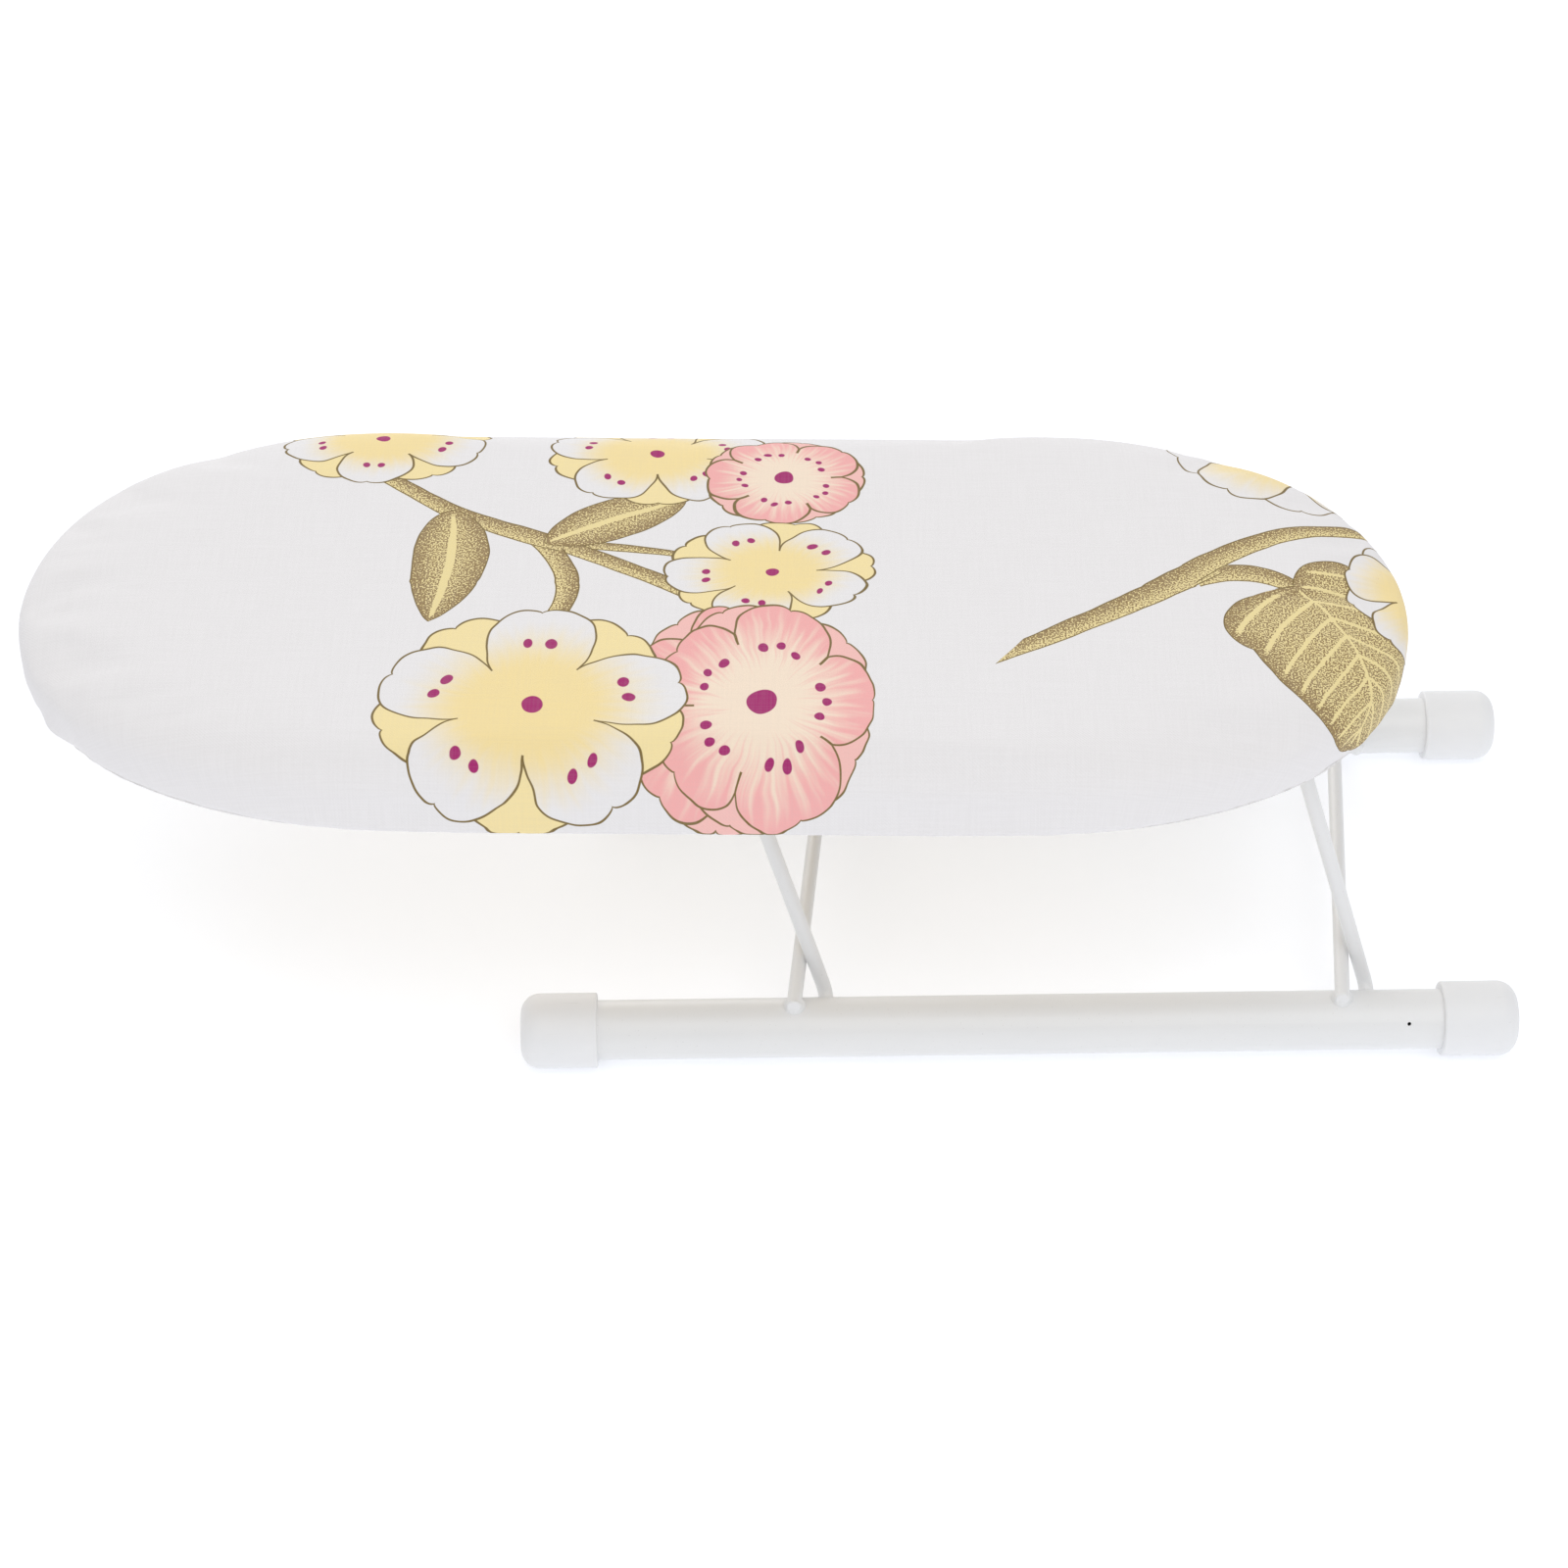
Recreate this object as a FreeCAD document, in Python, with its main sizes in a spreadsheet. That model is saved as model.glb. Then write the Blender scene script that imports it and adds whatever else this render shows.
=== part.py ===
import FreeCAD, Part
import math
import os

import Sketcher
from FreeCAD import Placement, Rotation, Vector

# A folding sleeve ironing board.  Two steel foot tubes carry two swing legs of bent wire, and the
# legs carry a padded board that stays level as they swing.  Millimetres, +X along the board,
# +Z up, origin on the floor under the middle of the whole object.

doc = FreeCAD.newDocument("sleeve_ironing_board")
sheet = doc.addObject("Spreadsheet::Sheet", "Sizes")

SIZES = {
    # foot tubes and their end caps
    "foot_length": 365.0,        # over both end caps
    "tube_diameter": 22.0,
    "tube_wall": 1.0,
    "tube_spacing": 170.4,       # front tube axis to rear tube axis
    "racking": 18.2,             # the rear tube sits this far to the right of the front one
    "cap_diameter": 27.5,
    "cap_length": 28.0,
    "cap_end_wall": 4.0,
    "cap_end_round": 7.0,
    "cap_rim_round": 0.7,
    "vent_diameter": 1.4,        # lets air out of the tube while its coating bakes
    "vent_from_left": 324.0,
    "vent_tilt": 34.0,           # degrees above the horizontal, on the front of the front tube
    # wire work
    "wire_diameter": 5.5,
    "wire_end_chamfer": 0.5,
    "cross_wire_from_left": 100.0,   # on the front tube, from the foot's left end
    "station_spacing": 200.0,        # left to right, for cross wires and legs alike
    "cross_wire_overhang": 3.6,      # past the tube axis, front and rear
    "weld_sink": 0.4,
    "bead_radius": 4.1,
    "leg_length": 113.1,             # lower pivot axis to crossbar axis
    "leg_lean": 18.5,                # degrees to the left of upright when opened
    "leg_foot_width": 136.8,         # between the uprights' centre lines, level with the pins
    "leg_top_width": 108.0,          # between the same lines, level with the crossbar
    "pin_reach": 12.0,               # from the foot of an upright to the tip of its pin
    "pin_bend": 6.0,
    "crossbar_bend": 10.0,
    "pivot_clearance": 0.05,         # around each leg pin in its tube
    "stop_gap": 0.3,                 # between an opened leg and the cross wire that stops it
    # saddle clips and their screws
    "crossbar_drop": 6.0,            # from the panel's underside down to the crossbar axis
    "clip_clearance": 0.1,           # around the crossbar
    "clip_sheet": 1.2,
    "clip_width": 14.0,
    "clip_length": 24.0,
    "clip_offset": 32.0,             # from the middle of the pair to each clip
    "clip_shift": 6.0,               # the pair sits this far forward of the crossbar's middle
    "clip_bend": 0.8,
    "screw_pitch": 16.4,
    "screw_hole": 3.4,
    "screw_diameter": 3.0,
    "screw_length": 9.0,
    "screw_tip": 2.0,
    "head_diameter": 6.2,
    "head_height": 2.1,
    "head_edge": 0.7,                # the straight side below the dome
    "recess_length": 3.6,
    "recess_width": 0.8,
    "recess_depth": 1.1,
    # padded board
    "board_length": 500.0,
    "board_width": 214.0,
    "board_thickness": 25.0,
    "end_length": 133.0,             # from where the straight side stops to the tip
    "tip_radius": 97.0,
    "board_lead": 119.3,             # board centre, to the left of the base's centre
    "board_turn": 1.8,               # degrees clockwise from above, against the foot tubes
    "cover_thickness": 0.8,
    "rim_round": 13.0,
    "underside_round": 3.2,
    "panel_thickness": 9.0,
    "panel_inset": 5.0,
    "panel_round": 1.5,
    "lip_width": 11.0,               # how far the cover turns in under the board
    "hem_width": 7.5,
    "hem_height": 2.0,
    "elastic_width": 4.5,
    "elastic_height": 1.2,
}
for row, (alias, number) in enumerate(SIZES.items(), start=1):
    sheet.set(f"A{row}", alias)
    sheet.set(f"B{row}", str(number))
    sheet.setAlias(f"B{row}", alias)
doc.recompute()


def size(alias):
    """A driving dimension, as the sheet holds it."""
    return float(sheet.get(alias))


# Places worked out from the sizes --------------------------------------------------------------

UP = Vector(0, 0, 1)
skew = math.degrees(math.atan(size("racking") / size("tube_spacing")))
skew_turn = Rotation(UP, -skew)
axis = skew_turn.multVec(Vector(0, 1, 0))      # along both cross wires and every leg pivot
tube_height = size("cap_diameter") / 2
foot_half = size("foot_length") / 2
board_turn = Rotation(UP, -size("board_turn"))
tip_from_centre = size("board_length") / 2 - size("tip_radius")
board_reach = tip_from_centre * math.cos(math.radians(size("board_turn"))) + size("tip_radius")
base_x = (board_reach + size("board_lead") - foot_half - size("racking") / 2) / 2
front_tube = Vector(base_x - size("racking") / 2, -size("tube_spacing") / 2, tube_height)
rear_tube = Vector(base_x + size("racking") / 2, size("tube_spacing") / 2, tube_height)
# each station's cross wire, half way between the tubes
wire_level = size("tube_diameter") / 2 + size("wire_diameter") / 2 - size("weld_sink")
first_wire_x = size("cross_wire_from_left") - foot_half
first_wire = (front_tube + rear_tube) / 2 + Vector(first_wire_x, 0, wire_level)
station_step = Vector(size("station_spacing"), 0, 0)
# an opened leg leans against its cross wire, stop_gap short of touching
lean = math.radians(size("leg_lean"))
stop_reach = size("wire_diameter") + size("stop_gap") + wire_level * math.sin(lean)
pivot_offset = stop_reach / math.cos(lean) / math.cos(math.radians(skew))
pivot_from_wire = Vector(pivot_offset, 0, -wire_level)
leg_turn = skew_turn * Rotation(Vector(0, 1, 0), -size("leg_lean"))
leg_rise = leg_turn.multVec(UP) * size("leg_length")
STATIONS = {"left": 0, "right": 1}
cross_wire_middle = {side: first_wire + station_step * place for side, place in STATIONS.items()}
leg_pivot = {side: middle + pivot_from_wire for side, middle in cross_wire_middle.items()}
crossbar = {side: pivot + leg_rise for side, pivot in leg_pivot.items()}
board_level = crossbar["left"].z + size("crossbar_drop") - size("cover_thickness")
board_origin = Vector(base_x - size("board_lead"), 0, board_level)
clip_places = {}
for side in STATIONS:
    for row_name, sign in (("front", -1), ("rear", 1)):
        along = sign * size("clip_offset") - size("clip_shift")
        clip_places[f"{side}_{row_name}"] = crossbar[side] + axis * along

nodes = []


def piece(label, obj):
    """Name a finished sub-part and put it on the list of what is written out."""
    obj.Label = label
    nodes.append(obj)
    return obj


def bind(obj, **expressions):
    """Tie properties of an object to cells of the sheet."""
    for name, expression in expressions.items():
        obj.setExpression(name, expression)


def placed(obj, place, turn=Rotation()):
    obj.Placement = Placement(place, turn)
    return obj


def cut(name, base, *tools):
    """Base less every tool."""
    result = doc.addObject("Part::Cut", name)
    result.Base = base
    if len(tools) == 1:
        result.Tool = tools[0]
    else:
        union = doc.addObject("Part::MultiFuse", name + "_tools")
        union.Shapes = list(tools)
        result.Tool = union
    doc.recompute()
    return result


def cylinder(name, radius, height, place, direction):
    """A round bar that starts at a place and runs along a direction."""
    bar = doc.addObject("Part::Cylinder", name)
    bind(bar, Radius=radius, Height=height)
    return placed(bar, place, Rotation(UP, direction))


def plane_of(body, role):
    for feature in body.Origin.OriginFeatures:
        if feature.Role == role:
            return feature


def new_sketch(body, name, role, depth=None):
    """A sketch on one of a body's own planes, moved along its normal by depth."""
    sketch = body.newObject("Sketcher::SketchObject", name)
    sketch.AttachmentSupport = [(plane_of(body, role), "")]
    sketch.MapMode = "FlatFace"
    if depth:
        sketch.setExpression(".AttachmentOffset.Base.z", depth)
    return sketch


def driven(sketch, expression, *constraint):
    """Add a dimension and tie it to the sheet."""
    index = sketch.addConstraint(Sketcher.Constraint(*constraint))
    sketch.setExpression(f"Constraints[{index}]", expression)


ORIGIN = (-1, 1)        # the sketch's own origin point
X_AXIS, Y_AXIS = -1, -2
START, END, CENTRE = 1, 2, 3
TOLERANCE = 1e-3        # places closer than this are the same place


def arc(centre, radius, begin, finish):
    """An arc of a circle, counter-clockwise between two angles in degrees."""
    circle = Part.Circle(Vector(*centre, 0), UP, radius)
    return Part.ArcOfCircle(circle, math.radians(begin), math.radians(finish))


def line(start, end):
    return Part.LineSegment(Vector(*start, 0), Vector(*end, 0))


def same(*numbers):
    return max(numbers) - min(numbers) < TOLERANCE


def edges_where(shape, wanted):
    """The names of a shape's edges whose box passes a test."""
    return [f"Edge{n}" for n, edge in enumerate(shape.Edges, start=1) if wanted(edge.BoundBox)]


# The board's outline -----------------------------------------------------------------------------

def draw_oval(sketch, inset):
    """The board's outline, moved in by an inset: two straight sides, and at each end a tip arc
    between two flatter shoulder arcs, all tangent."""
    tip = size("tip_radius")
    half_length = size("board_length") / 2
    half_width = size("board_width") / 2
    straight = half_length - size("end_length")
    tip_x = half_length - tip
    run = tip_x - straight
    shoulder = (run ** 2 + half_width ** 2 - tip ** 2) / (2 * (half_width - tip))
    meet = math.degrees(math.atan2(shoulder - half_width, -run))   # from the lower shoulder centre
    low = 180 - meet
    first = sketch.GeometryCount
    sketch.addGeometry([
        line((-straight, half_width), (straight, half_width)),
        arc((straight, half_width - shoulder), shoulder, low, 90),
        arc((tip_x, 0), tip, -low, low),
        arc((straight, shoulder - half_width), shoulder, 270, 360 - low),
        line((straight, -half_width), (-straight, -half_width)),
        arc((-straight, shoulder - half_width), shoulder, 180 + low, 270),
        arc((-tip_x, 0), tip, 180 - low, 180 + low),
        arc((-straight, half_width - shoulder), shoulder, 90, 180 - low),
    ], False)
    top, right_top, right_tip, right_low, bottom, left_low, left_tip, left_top = range(first, first + 8)
    joints = (
        (top, END, right_top, END), (right_top, START, right_tip, END),
        (right_tip, START, right_low, END), (right_low, START, bottom, START),
        (bottom, END, left_low, END), (left_low, START, left_tip, END),
        (left_tip, START, left_top, END), (left_top, START, top, START),
    )
    for joint in joints:
        sketch.addConstraint(Sketcher.Constraint("Tangent", *joint))
    for side in (top, bottom):
        sketch.addConstraint(Sketcher.Constraint("Horizontal", side))
    for tip_arc in (right_tip, left_tip):
        sketch.addConstraint(Sketcher.Constraint("PointOnObject", tip_arc, CENTRE, X_AXIS))
        driven(sketch, f"Sizes.tip_radius - ({inset})", "Radius", tip_arc, tip)
    tip_place = "Sizes.board_length / 2 - Sizes.tip_radius"
    driven(sketch, tip_place, "DistanceX", *ORIGIN, right_tip, CENTRE, tip_x)
    driven(sketch, tip_place, "DistanceX", left_tip, CENTRE, *ORIGIN, tip_x)
    side_place = f"Sizes.board_width / 2 - ({inset})"
    driven(sketch, side_place, "DistanceY", *ORIGIN, top, START, half_width)
    driven(sketch, side_place, "DistanceY", bottom, START, *ORIGIN, half_width)
    end_place = "Sizes.board_length / 2 - Sizes.end_length"
    for side, right_end, left_end in ((top, END, START), (bottom, START, END)):
        driven(sketch, end_place, "DistanceX", *ORIGIN, side, right_end, straight)
        driven(sketch, end_place, "DistanceX", side, left_end, *ORIGIN, straight)


def oval_slab(name, inset, low, height, top_round=None, low_round=None):
    """A slab with the board's outline.  Low is its underside, counted from the cover's."""
    body = doc.addObject("PartDesign::Body", name)
    sketch = new_sketch(body, name + "_outline", "XY_Plane", low)
    draw_oval(sketch, inset)
    pad = body.newObject("PartDesign::Pad", name + "_pad")
    pad.Profile = sketch
    bind(pad, Length=height)
    doc.recompute()
    latest = pad
    for end_name, radius in (("top", top_round), ("low", low_round)):
        if radius is None:
            continue
        whole = latest.Shape.BoundBox
        level = whole.ZMax if end_name == "top" else whole.ZMin
        edges = edges_where(latest.Shape, lambda box: same(box.ZMin, box.ZMax, level))
        fillet = body.newObject("PartDesign::Fillet", f"{name}_{end_name}_round")
        fillet.Base = (latest, edges)
        bind(fillet, Radius=radius)
        doc.recompute()
        latest = fillet
    body.Tip = latest
    return placed(body, board_origin, board_turn)


# Foot tubes ----------------------------------------------------------------------------------------

def foot_tube(label, middle, inward, vent=False):
    """A steel tube with a pin hole through its inner wall at each leg, and a vent if asked."""
    half_tube = Vector(foot_half - size("cap_end_wall"), 0, 0)
    start = middle - half_tube
    right = Vector(1, 0, 0)
    length = "Sizes.foot_length - 2 * Sizes.cap_end_wall"
    outside = cylinder(label + "_outside", "Sizes.tube_diameter / 2", length, start, right)
    bore = cylinder(label + "_bore", "Sizes.tube_diameter / 2 - Sizes.tube_wall", length, start, right)
    drills = [bore]
    for side, pivot in leg_pivot.items():
        on_axis = pivot - axis * (inward * size("tube_spacing") / 2 / axis.y)
        drills.append(cylinder(f"{label}_{side}_pin_hole",
                               "Sizes.wire_diameter / 2 + Sizes.pivot_clearance",
                               "Sizes.tube_diameter", on_axis, axis * inward))
    if vent:
        tilt = math.radians(size("vent_tilt"))
        place = middle + Vector(size("vent_from_left") - foot_half, 0, 0)
        outward = Vector(0, -math.cos(tilt), math.sin(tilt))
        drills.append(cylinder(label + "_vent", "Sizes.vent_diameter / 2", "Sizes.tube_diameter",
                               place, outward))
    return piece(label, cut(label, outside, *drills))


foot_tube("front_foot_tube", front_tube, 1, vent=True)
foot_tube("rear_foot_tube", rear_tube, -1)


# End caps ------------------------------------------------------------------------------------------

def end_cap(label, tip, outward):
    """A blind plastic cap, turned about its axis; its own X runs out through the closed end."""
    body = doc.addObject("PartDesign::Body", label)
    sketch = new_sketch(body, label + "_section", "XZ_Plane")
    length, wall_end = size("cap_length"), size("cap_length") - size("cap_end_wall")
    outer, inner = size("cap_diameter") / 2, size("tube_diameter") / 2
    corners = ((0, inner), (wall_end, inner), (wall_end, 0), (length, 0), (length, outer), (0, outer))
    count = len(corners)
    sketch.addGeometry([line(corners[i], corners[(i + 1) % count]) for i in range(count)], False)
    for i in range(count):
        sketch.addConstraint(Sketcher.Constraint("Coincident", i, END, (i + 1) % count, START))
        direction = "Horizontal" if i % 2 == 0 else "Vertical"
        sketch.addConstraint(Sketcher.Constraint(direction, i))
    sketch.addConstraint(Sketcher.Constraint("PointOnObject", 2, START, X_AXIS))
    driven(sketch, "0", "DistanceX", *ORIGIN, 0, START, 0)
    driven(sketch, "Sizes.tube_diameter / 2", "DistanceY", *ORIGIN, 0, START, inner)
    driven(sketch, "Sizes.cap_diameter / 2", "DistanceY", *ORIGIN, 4, START, outer)
    driven(sketch, "Sizes.cap_length", "DistanceX", *ORIGIN, 3, START, length)
    driven(sketch, "Sizes.cap_length - Sizes.cap_end_wall", "DistanceX", *ORIGIN, 1, START, wall_end)
    turned = body.newObject("PartDesign::Revolution", label + "_turned")
    turned.Profile = sketch
    turned.ReferenceAxis = (sketch, ["H_Axis"])
    turned.Angle = 360
    doc.recompute()
    latest = turned
    for end_name, place, radius in (("closed", length, "Sizes.cap_end_round"),
                                    ("open", 0, "Sizes.cap_rim_round")):
        rims = edges_where(latest.Shape,
                           lambda box: same(box.XMin, box.XMax, place) and same(box.ZMax, outer))
        fillet = body.newObject("PartDesign::Fillet", f"{label}_{end_name}_end_round")
        fillet.Base = (latest, rims)
        bind(fillet, Radius=radius)
        doc.recompute()
        latest = fillet
    body.Tip = latest
    turn = Rotation() if outward > 0 else Rotation(UP, 180)
    placed(body, tip - Vector(outward * size("cap_length"), 0, 0), turn)
    return piece(label, body)


for tube_name, tube_middle in (("front", front_tube), ("rear", rear_tube)):
    for cap_side, cap_outward in (("left", -1), ("right", 1)):
        cap_tip = tube_middle + Vector(cap_outward * foot_half, 0, 0)
        end_cap(f"{tube_name}_{cap_side}_end_cap", cap_tip, cap_outward)


# Cross wires and their welds -----------------------------------------------------------------------

def cross_wire(label, middle):
    """A cut length of wire laid over both tubes, sunk a little into each where it is welded."""
    body = doc.addObject("PartDesign::Body", label + "_bar")
    sketch = new_sketch(body, label + "_section", "XZ_Plane")
    sketch.addGeometry(Part.Circle(Vector(0, 0, 0), UP, size("wire_diameter") / 2), False)
    sketch.addConstraint(Sketcher.Constraint("Coincident", 0, CENTRE, *ORIGIN))
    driven(sketch, "Sizes.wire_diameter", "Diameter", 0, size("wire_diameter"))
    pad = body.newObject("PartDesign::Pad", label + "_pad")
    pad.Profile = sketch
    pad.Midplane = True
    bind(pad, Length=f"(Sizes.tube_spacing + 2 * Sizes.cross_wire_overhang) / {axis.y!r}")
    doc.recompute()
    ends = [f"Edge{n}" for n, edge in enumerate(pad.Shape.Edges, start=1) if edge.Closed]
    chamfer = body.newObject("PartDesign::Chamfer", label + "_ends")
    chamfer.Base = (pad, ends)
    bind(chamfer, Size="Sizes.wire_end_chamfer")
    body.Tip = chamfer
    placed(body, middle, skew_turn)
    beds = [cylinder(f"{label}_{n}_bed", "Sizes.tube_diameter / 2", "Sizes.foot_length",
                     tube - Vector(foot_half, 0, 0), Vector(1, 0, 0))
            for n, tube in enumerate((front_tube, rear_tube))]
    return piece(label, cut(label, body, *beds))


def weld_beads(label, wires):
    """A bead of weld round each crossing of a wire and a tube, shaped to both."""
    beads = []
    for side, wire in wires.items():
        for end_name, sign, tube in (("front", -1, front_tube), ("rear", 1, rear_tube)):
            name = f"{side}_{end_name}_bead"
            crossing = cross_wire_middle[side] + axis * (sign * size("tube_spacing") / 2 / axis.y)
            ball = doc.addObject("Part::Sphere", name + "_ball")
            bind(ball, Radius="Sizes.bead_radius")
            placed(ball, crossing - Vector(0, 0, size("wire_diameter") / 2))
            bed = cylinder(name + "_bed", "Sizes.tube_diameter / 2", "Sizes.foot_length",
                           tube - Vector(foot_half, 0, 0), Vector(1, 0, 0))
            beads.append(cut(name, ball, bed, wire))
    group = doc.addObject("Part::Compound", label)
    group.Links = beads
    return piece(label, group)


cross_wires = {}
for side, middle in cross_wire_middle.items():
    cross_wires[side] = cross_wire(f"{side}_cross_wire", middle)
weld_beads("weld_beads", cross_wires)


# Swing legs ----------------------------------------------------------------------------------------

def swing_leg(label, pivot):
    """One bent wire: a pin, an upright, the crossbar, the other upright and its pin.  In its own
    frame the pins lie along Y; the uprights rise along Z and close in on each other a little."""
    body = doc.addObject("PartDesign::Body", label)
    path = new_sketch(body, label + "_path", "YZ_Plane")
    foot, head, top = size("leg_foot_width") / 2, size("leg_top_width") / 2, size("leg_length")
    low_bend, top_bend = size("pin_bend"), size("crossbar_bend")
    tip = foot + size("pin_reach")
    rise = math.atan2(top, foot - head)
    turned = math.degrees(rise)
    low_run, top_run = low_bend * math.tan(rise / 2), top_bend * math.tan(rise / 2)
    climb, close = math.sin(rise), math.cos(rise)
    low_y, low_z = foot - low_run * close, low_run * climb
    top_y, top_z = head + top_run * close, top - top_run * climb
    path.addGeometry([
        line((-tip, 0), (-foot - low_run, 0)),
        arc((-foot - low_run, low_bend), low_bend, 270, 270 + turned),
        line((-low_y, low_z), (-top_y, top_z)),
        arc((top_run - head, top - top_bend), top_bend, 90, 90 + turned),
        line((top_run - head, top), (head - top_run, top)),
        arc((head - top_run, top - top_bend), top_bend, 90 - turned, 90),
        line((top_y, top_z), (low_y, low_z)),
        arc((foot + low_run, low_bend), low_bend, 270 - turned, 270),
        line((foot + low_run, 0), (tip, 0)),
    ], False)
    joints = ((0, END, 1, START), (1, END, 2, START), (2, END, 3, END), (3, START, 4, START),
              (4, END, 5, END), (5, START, 6, START), (6, END, 7, START), (7, END, 8, START))
    for joint in joints:
        path.addConstraint(Sketcher.Constraint("Tangent", *joint))
    for number in (0, 4, 8):
        path.addConstraint(Sketcher.Constraint("Horizontal", number))
    for number, radius, cell in ((1, low_bend, "pin_bend"), (7, low_bend, "pin_bend"),
                                 (3, top_bend, "crossbar_bend"), (5, top_bend, "crossbar_bend")):
        driven(path, f"Sizes.{cell}", "Radius", number, radius)
    # each upright runs between two corner points, where it would meet the pins and the crossbar
    for upright, sign in ((2, -1), (6, 1)):
        for cell, across, level in (("leg_foot_width", foot, 0), ("leg_top_width", head, top)):
            corner = path.addGeometry(Part.Point(Vector(sign * across, level, 0)), True)
            ends = (*ORIGIN, corner, START) if sign > 0 else (corner, START, *ORIGIN)
            driven(path, f"Sizes.{cell} / 2", "DistanceX", *ends, across)
            if level:
                driven(path, "Sizes.leg_length", "DistanceY", *ORIGIN, corner, START, top)
            else:
                path.addConstraint(Sketcher.Constraint("PointOnObject", corner, START, X_AXIS))
            path.addConstraint(Sketcher.Constraint("PointOnObject", corner, START, upright))
    driven(path, "Sizes.leg_length", "DistanceY", *ORIGIN, 4, START, top)
    path.addConstraint(Sketcher.Constraint("PointOnObject", 0, START, X_AXIS))
    path.addConstraint(Sketcher.Constraint("PointOnObject", 8, END, X_AXIS))
    tip_place = "Sizes.leg_foot_width / 2 + Sizes.pin_reach"
    driven(path, tip_place, "DistanceX", 0, START, *ORIGIN, tip)
    driven(path, tip_place, "DistanceX", *ORIGIN, 8, END, tip)
    section = new_sketch(body, label + "_section", "XZ_Plane", tip_place)
    section.addGeometry(Part.Circle(Vector(0, 0, 0), UP, size("wire_diameter") / 2), False)
    section.addConstraint(Sketcher.Constraint("Coincident", 0, CENTRE, *ORIGIN))
    driven(section, "Sizes.wire_diameter", "Diameter", 0, size("wire_diameter"))
    doc.recompute()
    pipe = body.newObject("PartDesign::AdditivePipe", label + "_wire")
    pipe.Profile = section
    pipe.Spine = (path, [f"Edge{n}" for n in range(1, len(path.Shape.Edges) + 1)])
    doc.recompute()
    tips = edges_where(pipe.Shape, lambda box: same(abs(box.YMin), abs(box.YMax), tip))
    chamfer = body.newObject("PartDesign::Chamfer", label + "_tips")
    chamfer.Base = (pipe, tips)
    bind(chamfer, Size="Sizes.wire_end_chamfer")
    body.Tip = chamfer
    placed(body, pivot, leg_turn)
    return piece(label, body)


for side, pivot in leg_pivot.items():
    swing_leg(f"{side}_swing_leg", pivot)


# Saddle clips --------------------------------------------------------------------------------------

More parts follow.
